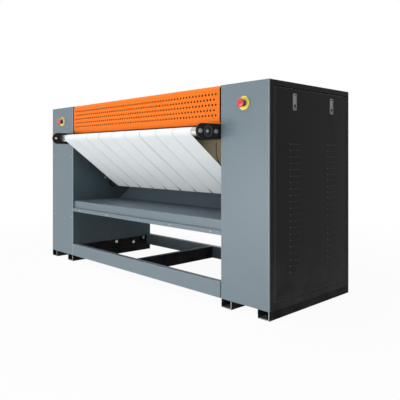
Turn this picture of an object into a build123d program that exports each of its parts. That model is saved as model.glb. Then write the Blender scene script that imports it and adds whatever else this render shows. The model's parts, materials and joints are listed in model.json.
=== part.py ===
from build123d import *
import math
import os

# Flatwork ironer: two sheet-metal cabinets carry a heated cylinder, its ironing belt,
# a ribbon feed table and a return chute between them. Millimetres.
# Origin: on the floor under the middle of the whole machine. +X is the operator's right,
# the operator stands at -Y, +Z is up. Depths are measured back from the cabinet fronts.

# ---------------------------------------------------------------- driving dimensions
HEIGHT = 1450
OPENING_WIDTH = 1930
CABINET_WIDTH = 398
CABINET_DEPTH = 915
FEED_REACH = 210

SHEET = 2
WALL = 6
LIP = 8
BEND_RADIUS = 4
FLANGE = 18
TOP_FLANGE = 9
REAR_RECESS = 3

FOOT_WIDTH = 92
FOOT_HEIGHT = 57
FOOT_WALL = 6
BEAM_DEPTH = 48
BEAM_HEIGHT = 105
BEAM_WALL = 3
BEAM_CORNER = 2
BEAM_GAP = 7
CENTRE_BEAM_WIDTH = 45
RAIL_WIDTH = 46
RAIL_HEIGHT = 93
RAIL_WALL = 4

FRONT_STRIP = 50
REAR_STRIP = 34
TOP_STRIP = 34
BOTTOM_STRIP = 36
PANEL_GAP = 3
PANEL_SEAT = 0.3
PANEL_RETURN = 15
TONGUE_WIDTH = 40
TONGUE_LENGTH = 12
LOUVRE_LENGTH = 108
LOUVRE_HEIGHT = 10
LOUVRE_PITCH = 40
LOUVRE_ROWS = 21
LOUVRE_FIRST_Z = 262
LOUVRE_FRONT_DEPTH = 258
LOUVRE_BACK_INSET = 231
LOUVRE_PROUD = 6
LOUVRE_VANE = 1.5
LOUVRE_ROOT = 2.5

LATCH_FRONT_DEPTH = 257
LATCH_BACK_INSET = 229
LATCH_BELOW_TOP = 122
LATCH_LENGTH = 106
LATCH_WIDTH = 40
LATCH_PROUD = 2
LATCH_RIM = 4.5
LATCH_CORNER = 6.5
LATCH_EDGE = 1.2
LATCH_DISH_DEPTH = 14
LATCH_SKIN = 2
LATCH_CLEARANCE = 0.5
LEVER_WIDTH = 24
LEVER_LENGTH = 65
LEVER_THICKNESS = 4
LEVER_CORNER = 3
LEVER_EDGE = 1
LEVER_RECESS = 0.3
LEVER_PIN_RADIUS = 2
LEVER_BOSS_RADIUS = 3.5
LEVER_ARM_WIDTH = 12
LEVER_ARM_THICKNESS = 4
LEVER_ARM_GAP = 1
ARM_CLEARANCE = 3
PIVOT_INSET = 4
PIVOT_DROP = 11
PIVOT_COVER = 4
PIVOT_SOCKET_DEPTH = 1.5
PIVOT_END_GAP = 0.3
HOOK_REACH = 2
ARM_SLOT_BELOW = 24
ARM_SLOT_ABOVE = 6
LOCK_RADIUS = 8
LOCK_GAP = 1

STOP_BELOW_TOP = 132
STOP_RING_RADIUS = 44
STOP_RING_THICKNESS = 4
STOP_COLLAR_RADIUS = 21
STOP_COLLAR_LENGTH = 11
STOP_NECK_RADIUS = 11
STOP_BLOCK = 42
STOP_BLOCK_DEPTH = 46
STOP_STEM_RADIUS = 8
STOP_HEAD_RADIUS = 29.5
STOP_HEAD_THICKNESS = 22
STOP_TRAVEL = 5
STOP_PIN_RADIUS = 5
STOP_HEAD_GAP = 1
STOP_BLOCK_WALL = 2
STOP_STEM_GAP = 2
STOP_EDGE = 1.6

HOOD_RECESS = 5
HOOD_HEIGHT = 251
HOOD_BEVEL_HEIGHT = 19
HOOD_BEVEL_DEPTH = 10
HOOD_TOP_DEPTH = 60
HOOD_LOWER_RETURN = 20
HOOD_END_GAP = 17
HOLE_RADIUS = 7.7
HOLE_PITCH = 32
HOLE_ROW_SPACING = 35
HOLE_TOP_ROW_BELOW_TOP = 53
HOLE_COLUMNS = 58
HOLE_ROWS = 5

GUARD_DEPTH = 47
GUARD_THICKNESS = 4
GUARD_COVERED = 23
GUARD_HEIGHT = 35
GUARD_PIN_RADIUS = 3
GUARD_TUBE_RADIUS = 4
GUARD_SIDE_GAP = 1
GUARD_BRACKET_GAP = 2
GUARD_STEP_GAP = 6
PIN_END_INSET = 1

TRAY_SHEET = 3
TRAY_HEIGHT = 97
TRAY_LIP_HEIGHT = 66
TRAY_BELOW_ROLLER = 159
TRAY_LIP_RECESS = 19
TRAY_RETURN = 25
CHUTE_DEPTH = 383
CHUTE_ANGLE = 39

BRACKET_HEIGHT = 100
BRACKET_THICKNESS = 12
BRACKET_GAP = 7
BRACKET_TAIL_DEPTH = 130
BRACKET_CHAMFER = 1
SPACER_INSET = 8
FEED_ROLLER_DEPTH = -112
FEED_BELOW_TOP = 303
LOWER_ROLLER_AHEAD = 178
LOWER_ROLLER_DROP = 422
ROLLER_RADIUS = 30
WALL_ROLLER_GAP = 20
ROLLER_END_GAP = 3
ROLLER_CHAMFER = 1.5
JOURNAL_RADIUS = 10
JOURNAL_OVERHANG = 4
JOURNAL_RECESS = 1
RUNNING_CLEARANCE = 0.05
BELT_CLEARANCE = 0.3
RIBBON_COUNT = 9
RIBBON_WIDTH = 180
RIBBON_PITCH = 187
RIBBON_THICKNESS = 2

CYLINDER_BACK_INSET = 295
CYLINDER_DROP = 57
CYLINDER_RADIUS = 200
CYLINDER_WALL = 6
CYLINDER_END_GAP = 35
CYLINDER_END_INSET = 12
CYLINDER_END_THICKNESS = 8
CYLINDER_JOURNAL_RADIUS = 40
CYLINDER_JOURNAL_BORE = 30
CYLINDER_JOURNAL_OVERHANG = 6
IRONING_BELT_THICKNESS = 4
IRONING_BELT_INSET = 115
ENTRY_ANGLE = 158
EXIT_ANGLE = -95
REAR_ROLLER_INSET = 103
REAR_UPPER_BELOW_TOP = 50
REAR_LOWER_DROP = 230
NIP_GAP = 0.5

BEARING_RADIUS = 32
LOWER_BEARING_RADIUS = 42
BEARING_FLANGE = 12
BEARING_SPIGOT_RADIUS = 26
BEARING_FIT = 0.1
FEED_BEARING_FLANGE_RADIUS = 38
FEED_BEARING_FLANGE = 4
CYLINDER_BEARING_RADIUS = 95
CYLINDER_BEARING_SPIGOT = 75
CYLINDER_BEARING_FLANGE = 24

PULLEY_RADIUS = 173
MOTOR_PULLEY_RADIUS = 58
PULLEY_WIDTH = 24
PULLEY_GROOVE_DEPTH = 6
PULLEY_GROOVE_GAP = 0.5
DRIVE_BELT_WIDTH = 14
DRIVE_BELT_THICKNESS = 9
MOTOR_AHEAD = 120
MOTOR_Z = 520
GEARBOX_PLATE = 8
GEARBOX_PLATE_SIZE = 240
GEARBOX_WIDTH = 100
GEARBOX_SIZE = 150
MOTOR_RADIUS = 48
MOTOR_LENGTH = 240
SHAFT_RADIUS = 12.5
SHAFT_SOCKET = 45
SHAFT_END_GAP = 1
MOTOR_CHAMFER = 8
PULLEY_STANDOFF = 8

HEATER_TUBE_RADIUS = 25
HEATER_TUBE_BORE = 19
HEATER_ROD_RADIUS = 8
HEATER_ROD_CIRCLE = 120
HEATER_ROD_INSET = 80
HEATER_RODS = 6
HEATER_DISC_RADIUS = 140
HEATER_DISC_THICKNESS = 6
HEATER_HOLDER_RADIUS = 125
HEATER_HOLDER_THICKNESS = 6
HEATER_HOLDER_GAP = 50
HEATER_POST_RADIUS = 7
HEATER_POST_CIRCLE = 110

SHIELD_DEPTH = 205
SHIELD_THICKNESS = 12
SHIELD_CLEARANCE = 62
SHIELD_ABOVE_CYLINDER = 15
SENSOR_INSET = 243
SENSOR_BELOW_TOP = 13
SENSOR_RADIUS = 9
SENSOR_LENGTH = 12
CABLE_RADIUS = 2.5
CABLE_STANDOFF = 0.3
CABLE_EXIT_DROP = 25
CABLE_HOLE_RADIUS = 4.5
CABLE_THROUGH = 15

BOX_WIDTH = 150
BOX_DEPTH = 380
BOX_HEIGHT = 480
BOX_FRONT_DEPTH = 300
BOX_BOTTOM_Z = 240
BOX_LID = 4
BOX_LID_RIM = 6

BOLT_RADIUS = 6
BOLT_HEAD_RADIUS = 11
BOLT_HEAD_HEIGHT = 8
BOLT_CLEARANCE = 0.2
BOLT_OVERHANG = 3
RAIL_BOLT_LENGTH = 16
RAIL_REAR_BOLT_INSET = 88
RAIL_BOLTS = ((487, 128), (696, 100), (CABINET_DEPTH - RAIL_REAR_BOLT_INSET, 132))
WALL_BOLT = (361, 776)
BRACKET_NOSE_BOLTS = (-181, -40)
BRACKET_WALL_BOLTS = (50, 95)
SCREW_RADIUS = 2.5
SCREW_HEAD_RADIUS = 6
SCREW_HEAD_HEIGHT = 2.5
SCREW_LENGTH = 12
SCREW_CLEARANCE = 0.2
FRONT_SCREW_INSETS = (23, 37)
FRONT_SCREW_HEIGHTS = (416, 980)
TRAY_SCREW_OFFSETS = (-843, -389, 63, 441, 869)
TRAY_SCREW_RISE = 16
REAR_SCREW_INSET = 30

# ---------------------------------------------------------------- derived places
FRONT = FEED_REACH - (CABINET_DEPTH + FEED_REACH) / 2
BACK = FRONT + CABINET_DEPTH
INNER = OPENING_WIDTH / 2
OUTER = INNER + CABINET_WIDTH
SKIN_TOP = HEIGHT - SHEET
LATCH_Z = HEIGHT - LATCH_BELOW_TOP
LATCH_DEPTHS = (LATCH_FRONT_DEPTH, CABINET_DEPTH - LATCH_BACK_INSET)
LOUVRE_DEPTHS = (LOUVRE_FRONT_DEPTH, CABINET_DEPTH - LOUVRE_BACK_INSET)
STOP_Z = HEIGHT - STOP_BELOW_TOP
HOOD_BOTTOM_Z = HEIGHT - HOOD_HEIGHT
GUARD_TOP_Z = HOOD_BOTTOM_Z + GUARD_COVERED
GUARD_BOTTOM_Z = GUARD_TOP_Z - GUARD_HEIGHT
FEED_ROLLER_Z = HEIGHT - FEED_BELOW_TOP
LOWER_ROLLER_Z = FEED_ROLLER_Z - LOWER_ROLLER_DROP
CYLINDER_Z = FEED_ROLLER_Z - CYLINDER_DROP
CYLINDER_DEPTH = CABINET_DEPTH - CYLINDER_BACK_INSET
LOWER_ROLLER_DEPTH = CYLINDER_DEPTH - LOWER_ROLLER_AHEAD
REAR_ROLLER_DEPTH = CABINET_DEPTH - REAR_ROLLER_INSET
REAR_UPPER_Z = HEIGHT - REAR_UPPER_BELOW_TOP
REAR_LOWER_Z = CYLINDER_Z - REAR_LOWER_DROP
TRAY_FLOOR_Z = LOWER_ROLLER_Z - TRAY_BELOW_ROLLER
TRAY_BOTTOM_Z = TRAY_FLOOR_Z - TRAY_HEIGHT
TRAY_LEDGE_Z = TRAY_FLOOR_Z - TRAY_LIP_HEIGHT
TRAY_SCREW_Z = TRAY_BOTTOM_Z + TRAY_SCREW_RISE
TRAY_FLOOR_DEPTH = CABINET_DEPTH - CHUTE_DEPTH
ROLLER_BODY_HALF = INNER - WALL_ROLLER_GAP
CYLINDER_HALF = INNER - CYLINDER_END_GAP
IRONING_BELT_HALF = INNER - IRONING_BELT_INSET
HEATER_ROD_HALF = CYLINDER_HALF - HEATER_ROD_INSET
RAIL_TOP = FOOT_HEIGHT + RAIL_HEIGHT
REAR_FACE = BACK - REAR_RECESS
REAR_INSIDE = REAR_FACE - SHEET
WALL_OUTSIDE = INNER + WALL
SKIN_INSIDE = OUTER - SHEET
OPENING_BOTTOM = FOOT_HEIGHT + BOTTOM_STRIP
OPENING_TOP = HEIGHT - TOP_STRIP
OPENING_FRONT = FRONT + FRONT_STRIP
OPENING_BACK = BACK - REAR_STRIP
PANEL_BOTTOM = OPENING_BOTTOM + PANEL_SEAT
PANEL_TOP = OPENING_TOP - PANEL_GAP
CABINET_MIDDLE = (INNER + OUTER) / 2
BRACKET_INSIDE = INNER - BRACKET_GAP - BRACKET_THICKNESS
BRACKET_OUTSIDE = INNER - BRACKET_GAP


def at_depth(depth):
    """Y of a place that lies the given depth behind the cabinet fronts."""
    return FRONT + depth


def polar(centre, radius, degrees):
    """Point in the YZ plane at a radius and angle from a centre."""
    angle = math.radians(degrees)
    return (centre[0] + radius * math.cos(angle), centre[1] + radius * math.sin(angle))


def heading(start, end):
    """Direction in degrees from one YZ point to another."""
    return math.degrees(math.atan2(end[1] - start[1], end[0] - start[0]))


FEED_AXIS = (at_depth(FEED_ROLLER_DEPTH), FEED_ROLLER_Z)
LOWER_AXIS = (at_depth(LOWER_ROLLER_DEPTH), LOWER_ROLLER_Z)
CYLINDER_AXIS = (at_depth(CYLINDER_DEPTH), CYLINDER_Z)
WRAP_RADIUS = CYLINDER_RADIUS + BELT_CLEARANCE + IRONING_BELT_THICKNESS / 2
TURN_RADIUS = ROLLER_RADIUS + BELT_CLEARANCE + IRONING_BELT_THICKNESS / 2
ENTRY_AXIS = polar(CYLINDER_AXIS, WRAP_RADIUS + TURN_RADIUS, ENTRY_ANGLE)
EXIT_AXIS = polar(CYLINDER_AXIS, WRAP_RADIUS + TURN_RADIUS, EXIT_ANGLE)
REAR_UPPER_AXIS = (at_depth(REAR_ROLLER_DEPTH), REAR_UPPER_Z)
REAR_LOWER_AXIS = (at_depth(REAR_ROLLER_DEPTH), REAR_LOWER_Z)
NIP_DISTANCE = 2 * (ROLLER_RADIUS + BELT_CLEARANCE) + RIBBON_THICKNESS + IRONING_BELT_THICKNESS + NIP_GAP
NIP_RISE = ENTRY_AXIS[1] - FEED_ROLLER_Z
TRANSFER_AXIS = (ENTRY_AXIS[0] - math.sqrt(NIP_DISTANCE**2 - NIP_RISE**2), FEED_ROLLER_Z)
WALL_ROLLER_AXES = (TRANSFER_AXIS, ENTRY_AXIS, EXIT_AXIS, REAR_UPPER_AXIS, REAR_LOWER_AXIS)
MOTOR_AXIS = (CYLINDER_AXIS[0] - MOTOR_AHEAD, MOTOR_Z)
GUARD_AXIS = (at_depth(GUARD_DEPTH) + GUARD_THICKNESS / 2, GUARD_TOP_Z - GUARD_PIN_RADIUS)
GEARBOX_OUTSIDE = WALL_OUTSIDE + GEARBOX_PLATE + GEARBOX_WIDTH
PULLEY_INSIDE = GEARBOX_OUTSIDE + PULLEY_STANDOFF
RIBBON_SLOPE = math.radians(-heading(FEED_AXIS, LOWER_AXIS))
RIBBON_UNDER_SHIELD = (
    FEED_ROLLER_Z
    - (SHIELD_DEPTH - FEED_ROLLER_DEPTH) * math.tan(RIBBON_SLOPE)
    - (ROLLER_RADIUS + BELT_CLEARANCE) / math.cos(RIBBON_SLOPE)
)
SHIELD_BOTTOM_Z = math.ceil(RIBBON_UNDER_SHIELD + SHIELD_CLEARANCE)
SHIELD_TOP_Z = CYLINDER_Z + SHIELD_ABOVE_CYLINDER
SENSOR_X = INNER - SENSOR_INSET
SENSOR_Z = SHIELD_TOP_Z - SENSOR_BELOW_TOP
CABLE_EXIT_Z = SHIELD_BOTTOM_Z - CABLE_EXIT_DROP
CABLE_Y = at_depth(SHIELD_DEPTH) - CABLE_STANDOFF - CABLE_RADIUS
CHUTE_TAN = math.tan(math.radians(CHUTE_ANGLE))

os.makedirs("parts", exist_ok=True)


# ---------------------------------------------------------------- shared steps
def finish(shape, label):
    """Label a piece and write it."""
    shape.label = label
    export_step(shape, f"parts/{label}.step")


def finish_pair(shape, label):
    """Write a right-hand piece and its mirror image for the left."""
    finish(shape, f"{label}_right")
    finish(mirror(shape, about=Plane.YZ), f"{label}_left")


def block(x, y, z, mode=Mode.ADD):
    """Box between low and high values along X, Y and Z, in the open part."""
    with Locations(((x[0] + x[1]) / 2, (y[0] + y[1]) / 2, (z[0] + z[1]) / 2)):
        Box(x[1] - x[0], y[1] - y[0], z[1] - z[0], mode=mode)


def disc(x, axis, radius, mode=Mode.ADD):
    """Cylinder along X between two X values, about a YZ axis, in the open part."""
    with BuildSketch(Plane.YZ.offset(x[0])) as outline:
        with Locations(axis):
            Circle(radius)
    extrude(outline.sketch, amount=x[1] - x[0], mode=mode)


def ring(x, axis, radius, bore):
    """Ring along X between two X values, in the open part."""
    with BuildSketch(Plane.YZ.offset(x[0])) as outline:
        with Locations(axis):
            Circle(radius)
            Circle(bore, mode=Mode.SUBTRACT)
    extrude(outline.sketch, amount=x[1] - x[0])


def facing_front(y):
    """Sketch plane at a Y value, X to the right and Z up, facing the operator."""
    return Plane((0, y, 0), x_dir=(1, 0, 0), z_dir=(0, -1, 0))


def peg(centre, radius, y, mode=Mode.ADD):
    """Cylinder along Y between two Y values, about an (X, Z) centre, in the open part."""
    with BuildSketch(facing_front(y[0])) as outline:
        with Locations(centre):
            Circle(radius)
    extrude(outline.sketch, amount=y[0] - y[1], mode=mode)


def sheet_profile(points, thickness, side):
    """Closed outline of a bent sheet from the line of one face, in the open sketch."""
    with BuildLine() as path:
        Polyline(*points)
        offset(amount=thickness, side=side)
    make_face(path.edges())


# ---------------------------------------------------------------- foot rails and base frame
with BuildPart() as foot_rails:
    with BuildSketch(facing_front(FRONT)):
        with Locations((INNER + FOOT_WIDTH / 2, 0), (OUTER - FOOT_WIDTH / 2, 0)):
            Rectangle(FOOT_WIDTH, FOOT_HEIGHT, align=(Align.CENTER, Align.MIN))
        with Locations((INNER + FOOT_WIDTH / 2, FOOT_WALL), (OUTER - FOOT_WIDTH / 2, FOOT_WALL)):
            Rectangle(
                FOOT_WIDTH - 2 * FOOT_WALL,
                FOOT_HEIGHT - FOOT_WALL,
                align=(Align.CENTER, Align.MIN),
                mode=Mode.SUBTRACT,
            )
    extrude(amount=-CABINET_DEPTH)
finish_pair(foot_rails.part, "foot_rails")


def cross_beam(front_y):
    """Left-to-right base beam: closed tube with recessed end pads that meet the side rails."""
    tube_half = INNER - BEAM_GAP
    y = (front_y, front_y + BEAM_DEPTH)
    z = (FOOT_HEIGHT, FOOT_HEIGHT + BEAM_HEIGHT)
    pad_y = (max(y[0], FRONT + LIP) + BEAM_WALL, y[1] - BEAM_WALL)
    pad_z = (z[0] + BEAM_WALL, RAIL_TOP - BEAM_WALL)
    with BuildPart() as beam:
        block((-tube_half, tube_half), y, z)
        fillet(beam.edges().filter_by(Axis.X), BEAM_CORNER)
        hollow_y = (y[0] + BEAM_WALL, y[1] - BEAM_WALL)
        hollow_z = (z[0] + BEAM_WALL, z[1] - BEAM_WALL)
        hollow_half = tube_half - BEAM_WALL
        block((-hollow_half, hollow_half), hollow_y, hollow_z, mode=Mode.SUBTRACT)
        for x in ((-INNER, -tube_half), (tube_half, INNER)):
            block(x, pad_y, pad_z)
    return beam.part


finish(cross_beam(FRONT), "front_beam")
finish(cross_beam(BACK - BEAM_DEPTH), "rear_beam")

with BuildPart() as centre_beam:
    with BuildSketch(facing_front(FRONT + BEAM_DEPTH)):
        with Locations((0, FOOT_HEIGHT)):
            RectangleRounded(
                CENTRE_BEAM_WIDTH, BEAM_HEIGHT, BEAM_WALL, align=(Align.CENTER, Align.MIN)
            )
        with Locations((0, FOOT_HEIGHT + BEAM_WALL)):
            Rectangle(
                CENTRE_BEAM_WIDTH - 2 * BEAM_WALL,
                BEAM_HEIGHT - 2 * BEAM_WALL,
                align=(Align.CENTER, Align.MIN),
                mode=Mode.SUBTRACT,
            )
    extrude(amount=-(CABINET_DEPTH - 2 * BEAM_DEPTH))
finish(centre_beam.part, "centre_beam")

RAIL_BOLT_PLACES = [(at_depth(depth), z) for depth, z in RAIL_BOLTS]

with BuildPart() as base_side_rails:
    with BuildSketch(facing_front(FRONT + LIP)):
        with Locations((INNER, FOOT_HEIGHT)):
            Rectangle(RAIL_WIDTH, RAIL_HEIGHT, align=Align.MIN)
        with Locations((INNER + RAIL_WALL, FOOT_HEIGHT + RAIL_WALL)):
            Rectangle(
                RAIL_WIDTH - 2 * RAIL_WALL,
                RAIL_HEIGHT - 2 * RAIL_WALL,
                align=Align.MIN,
                mode=Mode.SUBTRACT,
            )
    extrude(amount=-(CABINET_DEPTH - LIP))
    for place in RAIL_BOLT_PLACES:
        disc((INNER, INNER + RAIL_WALL), place, BOLT_RADIUS + BOLT_CLEARANCE, Mode.SUBTRACT)
    mirror(about=Plane.YZ)
finish(base_side_rails.part, "base_side_rails")

# ---------------------------------------------------------------- cabinet shells
BRACKET_BOLT_PLACES = [(at_depth(depth), FEED_ROLLER_Z) for depth in BRACKET_WALL_BOLTS]
WALL_BOLT_PLACE = (at_depth(WALL_BOLT[0]), WALL_BOLT[1])

with BuildPart() as inner_wall:
    with BuildSketch(Plane.YZ.offset(INNER)):
        with Locations((FRONT + LIP, RAIL_TOP)):
            Rectangle(CABINET_DEPTH - LIP, SKIN_TOP - RAIL_TOP, align=Align.MIN)
        with Locations(*WALL_ROLLER_AXES, LOWER_AXIS):
            Circle(BEARING_SPIGOT_RADIUS + BEARING_FIT, mode=Mode.SUBTRACT)
        with Locations(CYLINDER_AXIS):
            Circle(CYLINDER_BEARING_SPIGOT + BEARING_FIT, mode=Mode.SUBTRACT)
        with Locations(*BRACKET_BOLT_PLACES, WALL_BOLT_PLACE):
            Circle(BOLT_RADIUS + BOLT_CLEARANCE, mode=Mode.SUBTRACT)
        with Locations(GUARD_AXIS):
            Circle(GUARD_PIN_RADIUS + RUNNING_CLEARANCE, mode=Mode.SUBTRACT)
        with Locations((CABLE_Y, CABLE_EXIT_Z)):
            Circle(CABLE_HOLE_RADIUS, mode=Mode.SUBTRACT)
    extrude(amount=WALL)
finish_pair(inner_wall.part, "inner_wall")


def front_cover(screw_places):
    """Right-hand cabinet front: a face with rounded lips on both sides and a top flange."""
    with BuildPart() as cover:
        with BuildSketch(Plane.XY.offset(FOOT_HEIGHT)):
            with Locations((INNER, FRONT)):
                Rectangle(CABINET_WIDTH, LIP, align=Align.MIN)
            with Locations((INNER + SHEET, FRONT + SHEET)):
                Rectangle(
                    CABINET_WIDTH - 2 * SHEET, LIP - SHEET, align=Align.MIN, mode=Mode.SUBTRACT
                )
        extrude(amount=SKIN_TOP - FOOT_HEIGHT)
        corners = cover.edges().filter_by(Axis.Z).group_by(Axis.Y)[0]
        fillet(corners, BEND_RADIUS)
        block(
            (INNER + WALL + SHEET, OUTER - 2 * SHEET),
            (FRONT + SHEET / 2, FRONT + FLANGE),
            (SKIN_TOP - SHEET, SKIN_TOP),
        )
        middle = (CABINET_MIDDLE, STOP_Z)
        peg(middle, STOP_NECK_RADIUS + BOLT_CLEARANCE, (FRONT, FRONT + SHEET), Mode.SUBTRACT)
        for place in screw_places:
            peg(place, SCREW_RADIUS + SCREW_CLEARANCE, (FRONT, FRONT + SHEET), Mode.SUBTRACT)
    return cover.part


FRONT_SCREW_PLACES = [
    (x, z)
    for x in (INNER + FRONT_SCREW_INSETS[0], OUTER - FRONT_SCREW_INSETS[1])
    for z in FRONT_SCREW_HEIGHTS
]
finish(front_cover([]), "front_cover_right")
finish(mirror(front_cover(FRONT_SCREW_PLACES), about=Plane.YZ), "front_cover_left")


def rear_cover_shell(x, z, screw_places):
    """Rear cover: a recessed face with forward side flanges, holed for its screws."""
    with BuildPart() as cover:
        block(x, (REAR_INSIDE, REAR_FACE), z)
        for side in ((x[0], x[0] + SHEET), (x[1] - SHEET, x[1])):
            block(side, (REAR_INSIDE - FLANGE, REAR_INSIDE), z)
        for place in screw_places:
            radius = SCREW_RADIUS + SCREW_CLEARANCE
            peg(place, radius, (REAR_INSIDE, REAR_FACE), Mode.SUBTRACT)
    return cover.part


def edge_places(x, z):
    """Screw places along both sides of a rear cover: low, middle and high."""
    columns = (x[0] + REAR_SCREW_INSET, x[1] - REAR_SCREW_INSET)
    rows = (z[0] + REAR_SCREW_INSET, (z[0] + z[1]) / 2, z[1] - REAR_SCREW_INSET)
    return [(column, row) for column in columns for row in rows]


CABINET_REAR_X = (WALL_OUTSIDE, SKIN_INSIDE)
CABINET_REAR_Z = (FOOT_HEIGHT + RAIL_HEIGHT, SKIN_TOP)
CABINET_REAR_SCREWS = edge_places(CABINET_REAR_X, CABINET_REAR_Z)
finish_pair(
    rear_cover_shell(CABINET_REAR_X, CABINET_REAR_Z, CABINET_REAR_SCREWS), "cabinet_rear_cover"
)

with BuildPart() as cabinet_top_cover:
    block((INNER, OUTER), (FRONT, BACK), (SKIN_TOP, HEIGHT))
    fillet(cabinet_top_cover.edges().group_by(Axis.Z)[-1], SHEET * 0.8)
    for x in ((WALL_OUTSIDE, WALL_OUTSIDE + SHEET), (SKIN_INSIDE - SHEET, SKIN_INSIDE)):
        block(x, (FRONT + FLANGE, REAR_INSIDE - FLANGE), (SKIN_TOP - TOP_FLANGE, SKIN_TOP))
finish_pair(cabinet_top_cover.part, "cabinet_top_cover")

with BuildPart() as cabinet_floors:
    block(
        (INNER + RAIL_WIDTH, SKIN_INSIDE),
        (FRONT + SHEET, REAR_INSIDE),
        (FOOT_HEIGHT, FOOT_HEIGHT + SHEET),
    )
    block(
        (INNER + RAIL_WIDTH, SKIN_INSIDE),
        (REAR_INSIDE, REAR_FACE),
        (FOOT_HEIGHT, FOOT_HEIGHT + RAIL_HEIGHT),
    )
    mirror(about=Plane.YZ)
finish(cabinet_floors.part, "cabinet_floors")

with BuildPart() as side_frame:
    with BuildSketch(Plane.YZ.offset(SKIN_INSIDE)):
        with Locations((FRONT + LIP, FOOT_HEIGHT)):
            Rectangle(CABINET_DEPTH - LIP, SKIN_TOP - FOOT_HEIGHT, align=Align.MIN)
        with Locations((OPENING_FRONT, OPENING_BOTTOM)):
            Rectangle(
                OPENING_BACK - OPENING_FRONT,
                OPENING_TOP - OPENING_BOTTOM,
                align=Align.MIN,
                mode=Mode.SUBTRACT,
            )
    extrude(amount=SHEET)
    for y in ((OPENING_FRONT - SHEET, OPENING_FRONT), (OPENING_BACK, OPENING_BACK + SHEET)):
        block((OUTER - PANEL_RETURN, SKIN_INSIDE), y, (OPENING_BOTTOM, OPENING_TOP))
finish_pair(side_frame.part, "side_frame")

# ---------------------------------------------------------------- louvred side panels
PANEL_Y = (OPENING_FRONT + PANEL_GAP, OPENING_BACK - PANEL_GAP)
DISH_LENGTH = LATCH_LENGTH - 2 * LATCH_RIM
DISH_WIDTH = LATCH_WIDTH - 2 * LATCH_RIM
LATCH_YS = [at_depth(depth) for depth in LATCH_DEPTHS]
LOUVRE_PLACES = [
    (0, at_depth(depth), LOUVRE_FIRST_Z + row * LOUVRE_PITCH)
    for depth in LOUVRE_DEPTHS
    for row in range(LOUVRE_ROWS)
]


def louvre_wedge(top, peak, length):
    """Wedge from the panel's inside face out to a peak at its foot, with rounded ends."""
    foot = -LOUVRE_HEIGHT / 2
    with BuildPart() as wedge:
        with BuildSketch(facing_front(0)):
            with BuildLine():
                Polyline(
                    (SKIN_INSIDE, top),
                    (OUTER, top),
                    (OUTER + peak, foot),
                    (SKIN_INSIDE, foot),
                    close=True,
                )
            make_face()
        extrude(amount=length / 2, both=True)
        with BuildSketch(Plane.XY.offset(foot)) as plan:
            with Locations((SKIN_INSIDE, 0)):
                Rectangle(SHEET + peak, length, align=(Align.MIN, Align.CENTER))
            fillet(plan.vertices().group_by(Axis.X)[-1], peak)
        extrude(amount=LOUVRE_HEIGHT, mode=Mode.INTERSECT)
    return wedge.part


HOLLOW_TOP = LOUVRE_HEIGHT / 2 - LOUVRE_ROOT
HOLLOW_PEAK = LOUVRE_PROUD * (LOUVRE_HEIGHT - LOUVRE_ROOT) / LOUVRE_HEIGHT
louvre_shell = louvre_wedge(LOUVRE_HEIGHT / 2, LOUVRE_PROUD, LOUVRE_LENGTH)
louvre_hollow = louvre_wedge(HOLLOW_TOP, HOLLOW_PEAK, LOUVRE_LENGTH - 2 * LOUVRE_VANE)

with BuildPart() as side_panel:
    block((OUTER - PANEL_RETURN, OUTER), PANEL_Y, (PANEL_BOTTOM, PANEL_TOP))
    block(
        (OUTER - PANEL_RETURN, SKIN_INSIDE),
        (PANEL_Y[0] + SHEET, PANEL_Y[1] - SHEET),
        (PANEL_BOTTOM + SHEET, PANEL_TOP - SHEET),
        mode=Mode.SUBTRACT,
    )
    for share in (1 / 6, 5 / 6):
        middle = PANEL_Y[0] + share * (PANEL_Y[1] - PANEL_Y[0])
        block(
            (SKIN_INSIDE - PANEL_SEAT - 2 * SHEET, SKIN_INSIDE - PANEL_SEAT),
            (middle - TONGUE_WIDTH / 2, middle + TONGUE_WIDTH / 2),
            (PANEL_BOTTOM - TONGUE_LENGTH, PANEL_BOTTOM + SHEET),
        )
    with BuildSketch(Plane.YZ.offset(SKIN_INSIDE)):
        with Locations(*[(y, LATCH_Z) for y in LATCH_YS]):
            Rectangle(DISH_WIDTH + 2 * LATCH_CLEARANCE, DISH_LENGTH + 2 * LATCH_CLEARANCE)
    extrude(amount=SHEET, mode=Mode.SUBTRACT)
    with Locations(*LOUVRE_PLACES):
        add(louvre_shell)
    with Locations(*LOUVRE_PLACES):
        add(louvre_hollow, mode=Mode.SUBTRACT)
finish_pair(side_panel.part, "side_panel")

# ---------------------------------------------------------------- paddle latches
LATCH_LOW = LATCH_Z - DISH_LENGTH / 2
LATCH_HIGH = LATCH_Z + DISH_LENGTH / 2
PIVOT_X = OUTER - PIVOT_INSET
PIVOT_Z = LATCH_HIGH - PIVOT_DROP
ARM_X = OUTER - PANEL_RETURN - ARM_CLEARANCE
LEVER_FRONT = OUTER + LATCH_PROUD - LEVER_RECESS

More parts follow.
